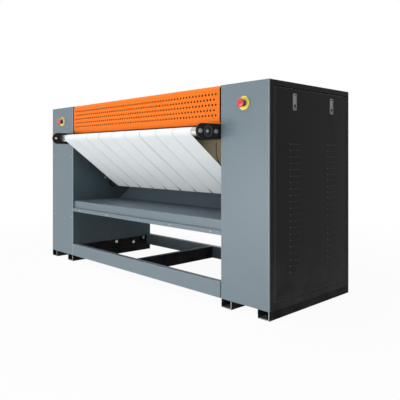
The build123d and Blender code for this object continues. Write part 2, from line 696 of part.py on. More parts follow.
with BuildPart() as latch_housings:
    with BuildSketch(Plane.YZ.offset(OUTER)):
        with Locations(*[(y, LATCH_Z) for y in LATCH_YS]):
            RectangleRounded(LATCH_WIDTH, LATCH_LENGTH, LATCH_CORNER)
    extrude(amount=LATCH_PROUD)
    fillet(latch_housings.edges().group_by(Axis.X)[-1], LATCH_EDGE)
    for y in LATCH_YS:
        block(
            (OUTER - LATCH_DISH_DEPTH, OUTER),
            (y - DISH_WIDTH / 2, y + DISH_WIDTH / 2),
            (LATCH_LOW, LATCH_HIGH),
        )
        block(
            (OUTER - LATCH_DISH_DEPTH + LATCH_SKIN, OUTER + LATCH_PROUD),
            (y - DISH_WIDTH / 2 + LATCH_SKIN, y + DISH_WIDTH / 2 - LATCH_SKIN),
            (LATCH_LOW + LATCH_SKIN, LATCH_HIGH - LATCH_SKIN),
            mode=Mode.SUBTRACT,
        )
        block(
            (OUTER - LATCH_DISH_DEPTH, OUTER - LATCH_DISH_DEPTH + LATCH_SKIN),
            (y - LEVER_ARM_WIDTH / 2 - LEVER_ARM_GAP, y + LEVER_ARM_WIDTH / 2 + LEVER_ARM_GAP),
            (PIVOT_Z - ARM_SLOT_BELOW, PIVOT_Z + ARM_SLOT_ABOVE),
            mode=Mode.SUBTRACT,
        )
        for side in (-1, 1):
            wall = y + side * (DISH_WIDTH / 2 - LATCH_SKIN)
            socket = sorted((wall, wall + side * PIVOT_SOCKET_DEPTH))
            peg(
                (PIVOT_X, PIVOT_Z),
                LEVER_PIN_RADIUS + RUNNING_CLEARANCE,
                socket,
                Mode.SUBTRACT,
            )
        lock_span = (OUTER - LATCH_DISH_DEPTH, OUTER + LATCH_PROUD / 2)
        disc(lock_span, (y, LATCH_LOW + LATCH_SKIN + LOCK_RADIUS + LOCK_GAP), LOCK_RADIUS)
finish_pair(latch_housings.part, "latch_housings")


def latch_lever(y):
    """Right-hand paddle on a cross pin, with a hook that reaches behind the frame strip."""
    paddle_x = (LEVER_FRONT - LEVER_THICKNESS, LEVER_FRONT)
    pin_half = DISH_WIDTH / 2 - LATCH_SKIN + PIVOT_SOCKET_DEPTH - PIVOT_END_GAP
    hook_z = OPENING_TOP + HOOK_REACH
    paddle_top = PIVOT_Z + PIVOT_COVER
    half_arm = LEVER_ARM_THICKNESS / 2
    with BuildPart() as lever:
        with BuildSketch(Plane.YZ.offset(paddle_x[0])):
            with Locations((y, paddle_top)):
                RectangleRounded(
                    LEVER_WIDTH, LEVER_LENGTH, LEVER_CORNER, align=(Align.CENTER, Align.MAX)
                )
            with Locations((y, paddle_top - LEVER_LENGTH)):
                Circle(LOCK_RADIUS + LOCK_GAP, mode=Mode.SUBTRACT)
        extrude(amount=LEVER_THICKNESS)
        fillet(lever.edges().group_by(Axis.X)[-1], LEVER_EDGE)
        half = LEVER_WIDTH / 2
        peg((PIVOT_X, PIVOT_Z), LEVER_BOSS_RADIUS, (y - half, y + half))
        peg((PIVOT_X, PIVOT_Z), LEVER_PIN_RADIUS, (y - pin_half, y + pin_half))
        arm_y = (y - LEVER_ARM_WIDTH / 2, y + LEVER_ARM_WIDTH / 2)
        hook_top = hook_z + LEVER_ARM_THICKNESS
        arm_start = ARM_X - LEVER_ARM_THICKNESS
        block((arm_start, PIVOT_X), arm_y, (PIVOT_Z - half_arm, PIVOT_Z + half_arm))
        block((arm_start, ARM_X), arm_y, (PIVOT_Z - half_arm, hook_top))
        block((arm_start, SKIN_INSIDE - PANEL_SEAT), arm_y, (hook_z, hook_top))
    return lever.part


for position, latch_y in zip(("front", "rear"), LATCH_YS):
    finish_pair(latch_lever(latch_y), f"latch_lever_{position}")

# ---------------------------------------------------------------- emergency stops
STOP_PLACE = (CABINET_MIDDLE, STOP_Z)
COLLAR_FRONT = FRONT - STOP_RING_THICKNESS - STOP_COLLAR_LENGTH
HEAD_BACK = COLLAR_FRONT - STOP_TRAVEL - STOP_HEAD_GAP
HEAD_FRONT = HEAD_BACK - STOP_HEAD_THICKNESS
BORE_END = FRONT + STOP_BLOCK_DEPTH - STOP_BLOCK_WALL
STEM_END = BORE_END - STOP_TRAVEL - STOP_STEM_GAP

with BuildPart() as stop_base:
    peg(STOP_PLACE, STOP_RING_RADIUS, (FRONT - STOP_RING_THICKNESS, FRONT))
    fillet(stop_base.edges().group_by(Axis.Y)[0], STOP_EDGE)
    peg(STOP_PLACE, STOP_COLLAR_RADIUS, (COLLAR_FRONT, FRONT - STOP_RING_THICKNESS))
    peg(STOP_PLACE, STOP_NECK_RADIUS, (FRONT, FRONT + SHEET))
    with Locations((STOP_PLACE[0], FRONT + (SHEET + STOP_BLOCK_DEPTH) / 2, STOP_PLACE[1])):
        Box(STOP_BLOCK, STOP_BLOCK_DEPTH - SHEET, STOP_BLOCK)
    bore = STOP_STEM_RADIUS + RUNNING_CLEARANCE
    peg(STOP_PLACE, bore, (COLLAR_FRONT, BORE_END), Mode.SUBTRACT)
finish_pair(stop_base.part, "stop_base")

with BuildPart() as stop_stem:
    peg(STOP_PLACE, STOP_STEM_RADIUS, (HEAD_BACK, STEM_END))
    peg(STOP_PLACE, STOP_PIN_RADIUS, (HEAD_FRONT + STOP_HEAD_THICKNESS / 2, HEAD_BACK))
finish_pair(stop_stem.part, "stop_stem")

with BuildPart() as stop_head:
    with BuildSketch(Plane.XY):
        with BuildLine():
            back = Line((0, HEAD_BACK), (STOP_HEAD_RADIUS * 0.62, HEAD_BACK))
            skirt = Line(back @ 1, (STOP_HEAD_RADIUS, HEAD_BACK - STOP_HEAD_THICKNESS * 0.45))
            rim = Line(skirt @ 1, (STOP_HEAD_RADIUS, HEAD_BACK - STOP_HEAD_THICKNESS * 0.65))
            crown = ThreePointArc(
                rim @ 1,
                (STOP_HEAD_RADIUS * 0.8, HEAD_BACK - STOP_HEAD_THICKNESS * 0.88),
                (STOP_HEAD_RADIUS * 0.45, HEAD_FRONT),
            )
            face = Line(crown @ 1, (0, HEAD_FRONT))
            Line(face @ 1, back @ 0)
        make_face()
    revolve(axis=Axis.Y)
    with Locations((0, (HEAD_BACK + HEAD_FRONT + STOP_HEAD_THICKNESS / 2) / 2, 0)):
        Cylinder(
            STOP_PIN_RADIUS + RUNNING_CLEARANCE,
            STOP_HEAD_THICKNESS / 2,
            rotation=(90, 0, 0),
            mode=Mode.SUBTRACT,
        )
stop_head_right = Pos(STOP_PLACE[0], 0, STOP_PLACE[1]) * stop_head.part
finish_pair(stop_head_right, "stop_head")

# ---------------------------------------------------------------- front hood and finger guard
HOOD_FACE = FRONT + HOOD_RECESS
HOOD_HALF = INNER - HOOD_END_GAP
HOOD_BEVEL = HOOD_FACE + HOOD_BEVEL_DEPTH
HOOD_REAR = HOOD_FACE + HOOD_TOP_DEPTH

with BuildPart() as front_hood:
    with BuildSketch(Plane.YZ.offset(-HOOD_HALF)):
        sheet_profile(
            (
                (HOOD_REAR, HEIGHT),
                (HOOD_BEVEL, HEIGHT),
                (HOOD_FACE, HEIGHT - HOOD_BEVEL_HEIGHT),
                (HOOD_FACE, HOOD_BOTTOM_Z + HOOD_BEVEL_HEIGHT),
                (HOOD_BEVEL, HOOD_BOTTOM_Z),
                (HOOD_BEVEL + HOOD_LOWER_RETURN, HOOD_BOTTOM_Z),
            ),
            SHEET,
            Side.LEFT,
        )
    extrude(amount=2 * HOOD_HALF)
    with BuildSketch(facing_front(HOOD_FACE)):
        for row in range(HOLE_ROWS):
            z = HEIGHT - HOLE_TOP_ROW_BELOW_TOP - row * HOLE_ROW_SPACING
            columns = HOLE_COLUMNS - row % 2
            with Locations((0, z)):
                with GridLocations(HOLE_PITCH, HOLE_ROW_SPACING, columns, 1):
                    Circle(HOLE_RADIUS)
    extrude(amount=-SHEET, mode=Mode.SUBTRACT)
    lug_y = (HOOD_REAR - 2 * FLANGE, HOOD_REAR - SHEET)
    for x in ((-INNER, -HOOD_HALF + FLANGE), (HOOD_HALF - FLANGE, INNER)):
        block(x, lug_y, (SKIN_TOP - TOP_FLANGE, SKIN_TOP))
finish(front_hood.part, "front_hood")

GUARD_NARROW_HALF = BRACKET_INSIDE - GUARD_BRACKET_GAP
BRACKET_TOP_Z = FEED_ROLLER_Z + BRACKET_HEIGHT / 2
GUARD_STEP_Z = BRACKET_TOP_Z + GUARD_STEP_GAP

with BuildPart() as finger_guard:
    guard_y = (GUARD_AXIS[0] - GUARD_THICKNESS / 2, GUARD_AXIS[0] + GUARD_THICKNESS / 2)
    wide = INNER - GUARD_SIDE_GAP
    block((-wide, wide), guard_y, (GUARD_STEP_Z, GUARD_TOP_Z))
    block((-GUARD_NARROW_HALF, GUARD_NARROW_HALF), guard_y, (GUARD_BOTTOM_Z, GUARD_STEP_Z))
    pin_end = WALL_OUTSIDE - PIN_END_INSET
    disc((-wide, wide), GUARD_AXIS, GUARD_TUBE_RADIUS)
    disc((-pin_end, pin_end), GUARD_AXIS, GUARD_PIN_RADIUS)
finish(finger_guard.part, "finger_guard")

# ---------------------------------------------------------------- centre covers
with BuildPart() as top_cover:
    block((-INNER, INNER), (HOOD_REAR, BACK), (SKIN_TOP, HEIGHT))
    for x in ((-INNER, -INNER + SHEET), (INNER - SHEET, INNER)):
        block(x, (HOOD_REAR, REAR_INSIDE - FLANGE), (SKIN_TOP - TOP_FLANGE, SKIN_TOP))
finish(top_cover.part, "top_cover")

CENTRE_REAR_X = (-INNER, INNER)
CENTRE_REAR_Z = (TRAY_BOTTOM_Z, SKIN_TOP)
CENTRE_REAR_SCREWS = edge_places(CENTRE_REAR_X, CENTRE_REAR_Z)
finish(rear_cover_shell(CENTRE_REAR_X, CENTRE_REAR_Z, CENTRE_REAR_SCREWS), "rear_cover")

# ---------------------------------------------------------------- laundry tray and return chute
LIP_FACE = FRONT + TRAY_LIP_RECESS
FLOOR_END = at_depth(TRAY_FLOOR_DEPTH)
TRAY_SCREW_PLACES = [(x, TRAY_SCREW_Z) for x in TRAY_SCREW_OFFSETS]

with BuildPart() as tray:
    with BuildSketch(Plane.YZ.offset(-INNER)):
        sheet_profile(
            (
                (FRONT + TRAY_RETURN, TRAY_BOTTOM_Z),
                (FRONT, TRAY_BOTTOM_Z),
                (FRONT, TRAY_LEDGE_Z),
                (LIP_FACE, TRAY_LEDGE_Z),
                (LIP_FACE, TRAY_FLOOR_Z),
                (FLOOR_END, TRAY_FLOOR_Z),
            ),
            TRAY_SHEET,
            Side.RIGHT,
        )
    extrude(amount=OPENING_WIDTH)
    for place in TRAY_SCREW_PLACES:
        radius = SCREW_RADIUS + SCREW_CLEARANCE
        peg(place, radius, (FRONT, FRONT + TRAY_SHEET), Mode.SUBTRACT)
finish(tray.part, "tray")

CHUTE_RUN = REAR_INSIDE - FLOOR_END
CHUTE_DROP = TRAY_SHEET / math.cos(math.radians(CHUTE_ANGLE))

with BuildPart() as return_chute:
    with BuildSketch(Plane.YZ.offset(-INNER + SHEET)):
        with BuildLine():
            Polyline(
                (FLOOR_END, TRAY_FLOOR_Z),
                (REAR_INSIDE, TRAY_FLOOR_Z + CHUTE_RUN * CHUTE_TAN),
                (REAR_INSIDE, TRAY_FLOOR_Z + CHUTE_RUN * CHUTE_TAN - CHUTE_DROP),
                (FLOOR_END, TRAY_FLOOR_Z - CHUTE_DROP),
                close=True,
            )
        make_face()
    extrude(amount=OPENING_WIDTH - 2 * SHEET)
    with BuildSketch(Plane.YZ.offset(-INNER)):
        with BuildLine():
            Polyline(
                (FLOOR_END, TRAY_FLOOR_Z),
                (REAR_INSIDE - FLANGE, TRAY_FLOOR_Z + (CHUTE_RUN - FLANGE) * CHUTE_TAN),
                (REAR_INSIDE - FLANGE, TRAY_FLOOR_Z + (CHUTE_RUN - FLANGE) * CHUTE_TAN - CHUTE_DROP),
                (FLOOR_END, TRAY_FLOOR_Z - CHUTE_DROP),
                close=True,
            )
        make_face()
    extrude(amount=OPENING_WIDTH)
finish(return_chute.part, "return_chute")

# ---------------------------------------------------------------- feed brackets
BRACKET_NOSE_PLACES = [(at_depth(depth), FEED_ROLLER_Z) for depth in BRACKET_NOSE_BOLTS]

with BuildPart() as feed_bracket:
    nose = (at_depth(-FEED_REACH) + BRACKET_HEIGHT / 2, FEED_ROLLER_Z)
    with BuildSketch(Plane.YZ.offset(BRACKET_INSIDE)):
        with Locations(nose):
            Circle(BRACKET_HEIGHT / 2)
            Rectangle(
                at_depth(BRACKET_TAIL_DEPTH) - nose[0],
                BRACKET_HEIGHT,
                align=(Align.MIN, Align.CENTER),
            )
    extrude(amount=BRACKET_THICKNESS)
    chamfer(feed_bracket.edges().group_by(Axis.X)[-1], BRACKET_CHAMFER)
    spacer_half = BRACKET_HEIGHT / 2 - SPACER_INSET
    block(
        (BRACKET_OUTSIDE, INNER),
        (at_depth(FLANGE), at_depth(BRACKET_TAIL_DEPTH - SPACER_INSET)),
        (FEED_ROLLER_Z - spacer_half, FEED_ROLLER_Z + spacer_half),
    )
    span = (BRACKET_INSIDE, BRACKET_OUTSIDE)
    disc(span, FEED_AXIS, BEARING_SPIGOT_RADIUS + BEARING_FIT, Mode.SUBTRACT)
    for place in BRACKET_NOSE_PLACES + BRACKET_BOLT_PLACES:
        disc((BRACKET_INSIDE, INNER), place, BOLT_RADIUS + BOLT_CLEARANCE, Mode.SUBTRACT)
finish_pair(feed_bracket.part, "feed_bracket")

# ---------------------------------------------------------------- rollers
WALL_JOURNAL_HALF = WALL_OUTSIDE + BEARING_FLANGE + JOURNAL_OVERHANG


def roller(axis, body_half, journal_half):
    """Roller body with a journal at each end."""
    with BuildPart() as body:
        disc((-body_half, body_half), axis, ROLLER_RADIUS)
        chamfer(body.edges().filter_by(GeomType.CIRCLE), ROLLER_CHAMFER)
        disc((-journal_half, -body_half), axis, JOURNAL_RADIUS)
        disc((body_half, journal_half), axis, JOURNAL_RADIUS)
    return body.part


ROLLERS = {
    "front_feed_roller": (FEED_AXIS, BRACKET_INSIDE - ROLLER_END_GAP, BRACKET_OUTSIDE - JOURNAL_RECESS),
    "lower_feed_roller": (LOWER_AXIS, ROLLER_BODY_HALF, WALL_OUTSIDE - JOURNAL_RECESS),
    "transfer_roller": (TRANSFER_AXIS, ROLLER_BODY_HALF, WALL_JOURNAL_HALF),
    "entry_roller": (ENTRY_AXIS, ROLLER_BODY_HALF, WALL_JOURNAL_HALF),
    "exit_roller": (EXIT_AXIS, ROLLER_BODY_HALF, WALL_JOURNAL_HALF),
    "rear_upper_roller": (REAR_UPPER_AXIS, ROLLER_BODY_HALF, WALL_JOURNAL_HALF),
    "rear_lower_roller": (REAR_LOWER_AXIS, ROLLER_BODY_HALF, WALL_JOURNAL_HALF),
}
for roller_name, (roller_axis, roller_half, journal_end) in ROLLERS.items():
    finish(roller(roller_axis, roller_half, journal_end), roller_name)

with BuildPart() as bearings:
    journal_bore = JOURNAL_RADIUS + RUNNING_CLEARANCE
    for axis in WALL_ROLLER_AXES:
        ring((INNER, WALL_OUTSIDE), axis, BEARING_SPIGOT_RADIUS, journal_bore)
        ring((WALL_OUTSIDE, WALL_OUTSIDE + BEARING_FLANGE), axis, BEARING_RADIUS, journal_bore)
    ring((INNER, WALL_OUTSIDE), LOWER_AXIS, BEARING_SPIGOT_RADIUS, journal_bore)
    ring((INNER - BEARING_FLANGE, INNER), LOWER_AXIS, LOWER_BEARING_RADIUS, journal_bore)
    feed_flange = (BRACKET_OUTSIDE, BRACKET_OUTSIDE + FEED_BEARING_FLANGE)
    ring((BRACKET_INSIDE, BRACKET_OUTSIDE), FEED_AXIS, BEARING_SPIGOT_RADIUS, journal_bore)
    ring(feed_flange, FEED_AXIS, FEED_BEARING_FLANGE_RADIUS, journal_bore)
    drum_bore = CYLINDER_JOURNAL_RADIUS + RUNNING_CLEARANCE
    drum_flange = (WALL_OUTSIDE, WALL_OUTSIDE + CYLINDER_BEARING_FLANGE)
    ring((INNER, WALL_OUTSIDE), CYLINDER_AXIS, CYLINDER_BEARING_SPIGOT, drum_bore)
    ring(drum_flange, CYLINDER_AXIS, CYLINDER_BEARING_RADIUS, drum_bore)
    mirror(about=Plane.YZ)
finish(bearings.part, "bearings")


# ---------------------------------------------------------------- feed ribbons and ironing belt
def hull_of_rollers(axes, radius):
    """Outline of a belt face that goes round outside equal rollers, in the open sketch."""
    with Locations(*axes):
        Circle(radius)
    make_hull()


RIBBON_AXES = (TRANSFER_AXIS, FEED_AXIS, LOWER_AXIS)
RIBBON_FIRST_X = -RIBBON_PITCH * (RIBBON_COUNT - 1) / 2 - RIBBON_WIDTH / 2
RIBBON_INSIDE = ROLLER_RADIUS + BELT_CLEARANCE

with BuildPart() as feed_ribbons:
    for count in range(RIBBON_COUNT):
        plane = Plane.YZ.offset(RIBBON_FIRST_X + count * RIBBON_PITCH)
        with BuildSketch(plane):
            hull_of_rollers(RIBBON_AXES, RIBBON_INSIDE + RIBBON_THICKNESS)
        extrude(amount=RIBBON_WIDTH)
        with BuildSketch(plane):
            hull_of_rollers(RIBBON_AXES, RIBBON_INSIDE)
        extrude(amount=RIBBON_WIDTH, mode=Mode.SUBTRACT)
finish(feed_ribbons.part, "feed_ribbons")


def ironing_loop(shift):
    """Face inside the ironing belt's path, moved outwards by shift, in the open sketch."""
    turn = TURN_RADIUS + shift
    top_run = heading(ENTRY_AXIS, REAR_UPPER_AXIS) + 90
    rear_run = heading(REAR_LOWER_AXIS, REAR_UPPER_AXIS) - 90
    low_run = heading(EXIT_AXIS, REAR_LOWER_AXIS) - 90
    with BuildLine() as path:
        wrap = CenterArc(
            CYLINDER_AXIS, WRAP_RADIUS - shift, ENTRY_ANGLE, EXIT_ANGLE - ENTRY_ANGLE
        )
        exit_turn = CenterArc(EXIT_AXIS, turn, EXIT_ANGLE + 180, low_run + 180 - EXIT_ANGLE)
        lower_turn = CenterArc(REAR_LOWER_AXIS, turn, low_run, rear_run - low_run)
        upper_turn = CenterArc(REAR_UPPER_AXIS, turn, rear_run, top_run - rear_run)
        entry_turn = CenterArc(ENTRY_AXIS, turn, top_run, ENTRY_ANGLE + 180 - top_run)
        Line(exit_turn @ 1, lower_turn @ 0)
        Line(lower_turn @ 1, upper_turn @ 0)
        Line(upper_turn @ 1, entry_turn @ 0)
    make_face(path.edges())


with BuildPart() as ironing_belt:
    with BuildSketch(Plane.YZ.offset(-IRONING_BELT_HALF)):
        ironing_loop(IRONING_BELT_THICKNESS / 2)
    extrude(amount=2 * IRONING_BELT_HALF)
    with BuildSketch(Plane.YZ.offset(-IRONING_BELT_HALF)):
        ironing_loop(-IRONING_BELT_THICKNESS / 2)
    extrude(amount=2 * IRONING_BELT_HALF, mode=Mode.SUBTRACT)
finish(ironing_belt.part, "ironing_belt")

# ---------------------------------------------------------------- heated cylinder and its drive
PULLEY_OUTSIDE = PULLEY_INSIDE + PULLEY_WIDTH
END_OUTSIDE = CYLINDER_HALF - CYLINDER_END_INSET
LEFT_JOURNAL_END = WALL_OUTSIDE + CYLINDER_BEARING_FLANGE + CYLINDER_JOURNAL_OVERHANG
RIGHT_JOURNAL_END = PULLEY_OUTSIDE + CYLINDER_JOURNAL_OVERHANG

with BuildPart() as heated_cylinder:
    ring((-CYLINDER_HALF, CYLINDER_HALF), CYLINDER_AXIS, CYLINDER_RADIUS,
         CYLINDER_RADIUS - CYLINDER_WALL)
    for outside in (-END_OUTSIDE, END_OUTSIDE - CYLINDER_END_THICKNESS):
        ring((outside, outside + CYLINDER_END_THICKNESS), CYLINDER_AXIS,
             CYLINDER_RADIUS - CYLINDER_WALL, CYLINDER_JOURNAL_BORE)
    ring((-LEFT_JOURNAL_END, -END_OUTSIDE), CYLINDER_AXIS, CYLINDER_JOURNAL_RADIUS,
         CYLINDER_JOURNAL_BORE)
    ring((END_OUTSIDE, RIGHT_JOURNAL_END), CYLINDER_AXIS, CYLINDER_JOURNAL_RADIUS,
         CYLINDER_JOURNAL_BORE)
finish(heated_cylinder.part, "heated_cylinder")


def pulley(axis, radius, bore):
    """Grooved pulley for the drive belt."""
    middle = (PULLEY_INSIDE + PULLEY_OUTSIDE) / 2
    half_groove = DRIVE_BELT_WIDTH / 2 + PULLEY_GROOVE_GAP
    groove = (middle - half_groove, middle + half_groove)
    with BuildPart() as wheel:
        ring((PULLEY_INSIDE, groove[0]), axis, radius, bore)
        ring(groove, axis, radius - PULLEY_GROOVE_DEPTH, bore)
        ring((groove[1], PULLEY_OUTSIDE), axis, radius, bore)
    return wheel.part


CYLINDER_PULLEY_BORE = CYLINDER_JOURNAL_RADIUS + RUNNING_CLEARANCE
finish(pulley(CYLINDER_AXIS, PULLEY_RADIUS, CYLINDER_PULLEY_BORE), "cylinder_pulley")

motor_wheel = pulley(MOTOR_AXIS, MOTOR_PULLEY_RADIUS, SHAFT_RADIUS / 2)
with BuildPart() as motor_pulley:
    add(motor_wheel)
    shaft_start = GEARBOX_OUTSIDE - SHAFT_SOCKET + SHAFT_END_GAP
    disc((shaft_start, PULLEY_OUTSIDE), MOTOR_AXIS, SHAFT_RADIUS)
finish(motor_pulley.part, "motor_pulley")

GROOVE_GAP = BELT_CLEARANCE - PULLEY_GROOVE_DEPTH

with BuildPart() as drive_belt:
    belt_plane = Plane.YZ.offset((PULLEY_INSIDE + PULLEY_OUTSIDE - DRIVE_BELT_WIDTH) / 2)
    for thickness, belt_mode in ((DRIVE_BELT_THICKNESS, Mode.ADD), (0, Mode.SUBTRACT)):
        with BuildSketch(belt_plane):
            with Locations(CYLINDER_AXIS):
                Circle(PULLEY_RADIUS + GROOVE_GAP + thickness)
            with Locations(MOTOR_AXIS):
                Circle(MOTOR_PULLEY_RADIUS + GROOVE_GAP + thickness)
            make_hull()
        extrude(amount=DRIVE_BELT_WIDTH, mode=belt_mode)
finish(drive_belt.part, "drive_belt")

with BuildPart() as gearmotor:
    plate_x = (WALL_OUTSIDE, WALL_OUTSIDE + GEARBOX_PLATE)
    half_plate = GEARBOX_PLATE_SIZE / 2
    half_box = GEARBOX_SIZE / 2
    block(
        plate_x,
        (MOTOR_AXIS[0] - half_plate, MOTOR_AXIS[0] + half_plate),
        (MOTOR_Z - half_plate, MOTOR_Z + half_plate),
    )
    block(
        (plate_x[1], GEARBOX_OUTSIDE),
        (MOTOR_AXIS[0] - half_box, MOTOR_AXIS[0] + half_box),
        (MOTOR_Z - half_box, MOTOR_Z + half_box),
    )
    motor_centre = ((plate_x[1] + GEARBOX_OUTSIDE) / 2, MOTOR_Z)
    motor_start = MOTOR_AXIS[0] + half_box
    peg(motor_centre, MOTOR_RADIUS, (motor_start, motor_start + MOTOR_LENGTH))
    chamfer(gearmotor.edges().group_by(Axis.Y)[-1], MOTOR_CHAMFER)
    socket_x = (GEARBOX_OUTSIDE - SHAFT_SOCKET, GEARBOX_OUTSIDE)
    disc(socket_x, MOTOR_AXIS, SHAFT_RADIUS + RUNNING_CLEARANCE, Mode.SUBTRACT)
finish(gearmotor.part, "gearmotor")

# ---------------------------------------------------------------- fixed heater inside the cylinder
HOLDER_X = -(WALL_OUTSIDE + HEATER_HOLDER_GAP)

with BuildPart() as heater_core:
    ring((HOLDER_X - HEATER_HOLDER_THICKNESS, WALL_OUTSIDE), CYLINDER_AXIS, HEATER_TUBE_RADIUS,
         HEATER_TUBE_BORE)
    for x in (-HEATER_ROD_HALF, -HEATER_DISC_THICKNESS / 2, HEATER_ROD_HALF - HEATER_DISC_THICKNESS):
        ring((x, x + HEATER_DISC_THICKNESS), CYLINDER_AXIS, HEATER_DISC_RADIUS, HEATER_TUBE_BORE)
    for count in range(HEATER_RODS):
        place = polar(CYLINDER_AXIS, HEATER_ROD_CIRCLE, count * 360 / HEATER_RODS)
        disc((-HEATER_ROD_HALF, HEATER_ROD_HALF), place, HEATER_ROD_RADIUS)
    ring((HOLDER_X - HEATER_HOLDER_THICKNESS, HOLDER_X), CYLINDER_AXIS, HEATER_HOLDER_RADIUS,
         HEATER_TUBE_BORE)
    for angle in (90, 210, 330):
        place = polar(CYLINDER_AXIS, HEATER_POST_CIRCLE, angle)
        disc((HOLDER_X, -WALL_OUTSIDE), place, HEATER_POST_RADIUS)
finish(heater_core.part, "heater_core")

# ---------------------------------------------------------------- heat shield and its sensor cable
with BuildPart() as heat_shield:
    shield_y = (at_depth(SHIELD_DEPTH), at_depth(SHIELD_DEPTH + SHIELD_THICKNESS))
    block((-INNER, INNER), shield_y, (SHIELD_BOTTOM_Z, SHIELD_TOP_Z))
    peg((SENSOR_X, SENSOR_Z), SENSOR_RADIUS, (shield_y[0] - SENSOR_LENGTH, shield_y[0]))
finish(heat_shield.part, "heat_shield")

CABLE_POINTS = (
    (SENSOR_X, SENSOR_Z - SENSOR_RADIUS - CABLE_STANDOFF),
    (SENSOR_X, 1008),
    (735, 966),
    (765, 918),
    (812, 893),
    (872, 897),
    (INNER - 35, CABLE_EXIT_Z),
    (WALL_OUTSIDE + CABLE_THROUGH, CABLE_EXIT_Z),
)


def bend_radii(points):
    """Arc radius at each corner, as large as its two runs allow."""
    radii = []
    for before, corner, after in zip(points, points[1:], points[2:]):
        arriving = Vector(corner) - Vector(before)
        leaving = Vector(after) - Vector(corner)
        half_turn = math.radians(arriving.get_angle(leaving) / 2)
        radii.append(0.45 * min(arriving.length, leaving.length) / math.tan(half_turn))
    return radii


CABLE_BENDS = bend_radii(CABLE_POINTS)
print("cable bend radii:", [round(radius) for radius in CABLE_BENDS])

with BuildPart() as sensor_cable:
    with BuildLine(facing_front(CABLE_Y)) as cable_route:
        FilletPolyline(*CABLE_POINTS, radius=CABLE_BENDS)
    with BuildSketch(Plane(cable_route.line @ 0, z_dir=cable_route.line % 0)):
        Circle(CABLE_RADIUS)
    sweep()
finish(sensor_cable.part, "sensor_cable")
print("cable length:", round(cable_route.wire().length))

# ---------------------------------------------------------------- control box
with BuildPart() as control_box:
    box_x = (-WALL_OUTSIDE - BOX_WIDTH, -WALL_OUTSIDE)
    box_y = (at_depth(BOX_FRONT_DEPTH), at_depth(BOX_FRONT_DEPTH + BOX_DEPTH))
    box_z = (BOX_BOTTOM_Z, BOX_BOTTOM_Z + BOX_HEIGHT)
    block(box_x, box_y, box_z)
    lid_x = (box_x[0] - BOX_LID, box_x[0])
    lid_y = (box_y[0] - BOX_LID_RIM, box_y[1] + BOX_LID_RIM)
    block(lid_x, lid_y, (box_z[0] - BOX_LID_RIM, box_z[1] + BOX_LID_RIM))
    fillet(control_box.edges().filter_by(Axis.X), BOX_LID_RIM / 2)
finish(control_box.part, "control_box")

# ---------------------------------------------------------------- fasteners


def hexagon(x_start, x_end, place):
    """Bolt head or nut along X in the open part."""
    with BuildSketch(Plane.YZ.offset(x_start)) as outline:
        with Locations(place):
            RegularPolygon(BOLT_HEAD_RADIUS, 6)
    extrude(outline.sketch, amount=x_end - x_start)


def bolt(head_x, tip_x, place, nut_x=None):
    """Hexagon-headed bolt along X in the open part, with an optional nut at nut_x."""
    inward = math.copysign(1, tip_x - head_x)
    hexagon(head_x - inward * BOLT_HEAD_HEIGHT, head_x, place)
    disc(sorted((head_x, tip_x)), place, BOLT_RADIUS)
    if nut_x is not None:
        hexagon(nut_x, nut_x + inward * BOLT_HEAD_HEIGHT, place)


WALL_TIP = WALL_OUTSIDE + BOLT_HEAD_HEIGHT + BOLT_OVERHANG
NOSE_TIP = BRACKET_INSIDE - BOLT_HEAD_HEIGHT - BOLT_OVERHANG

with BuildPart() as frame_bolts:
    for place in RAIL_BOLT_PLACES:
        bolt(INNER, INNER + RAIL_BOLT_LENGTH, place)
    bolt(INNER, WALL_TIP, WALL_BOLT_PLACE, WALL_OUTSIDE)
    for place in BRACKET_BOLT_PLACES:
        bolt(BRACKET_INSIDE, WALL_TIP, place, WALL_OUTSIDE)
    for place in BRACKET_NOSE_PLACES:
        bolt(BRACKET_OUTSIDE, NOSE_TIP, place, BRACKET_INSIDE)
    mirror(about=Plane.YZ)
finish(frame_bolts.part, "frame_bolts")


def screw(place, face_y, inward):
    """Pan-headed screw along Y in the open part; inward is +1 into +Y and -1 into -Y."""
    head = sorted((face_y - inward * SCREW_HEAD_HEIGHT, face_y))
    peg(place, SCREW_HEAD_RADIUS, head)
    peg(place, SCREW_RADIUS, sorted((face_y, face_y + inward * SCREW_LENGTH)))


with BuildPart() as cover_screws:
    for x, z in FRONT_SCREW_PLACES:
        screw((-x, z), FRONT, 1)
    for place in TRAY_SCREW_PLACES:
        screw(place, FRONT, 1)
    for x, z in CABINET_REAR_SCREWS:
        screw((x, z), REAR_FACE, -1)
        screw((-x, z), REAR_FACE, -1)
    for place in CENTRE_REAR_SCREWS:
        screw(place, REAR_FACE, -1)
finish(cover_screws.part, "cover_screws")
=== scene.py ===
"""Flatwork ironer: the machine as it looks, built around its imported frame. Metres."""

import json
import logging
import math
from dataclasses import dataclass
from enum import Enum
from typing import Callable, Iterable, Sequence, Union

import bmesh
import bpy
from mathutils import Matrix, Vector


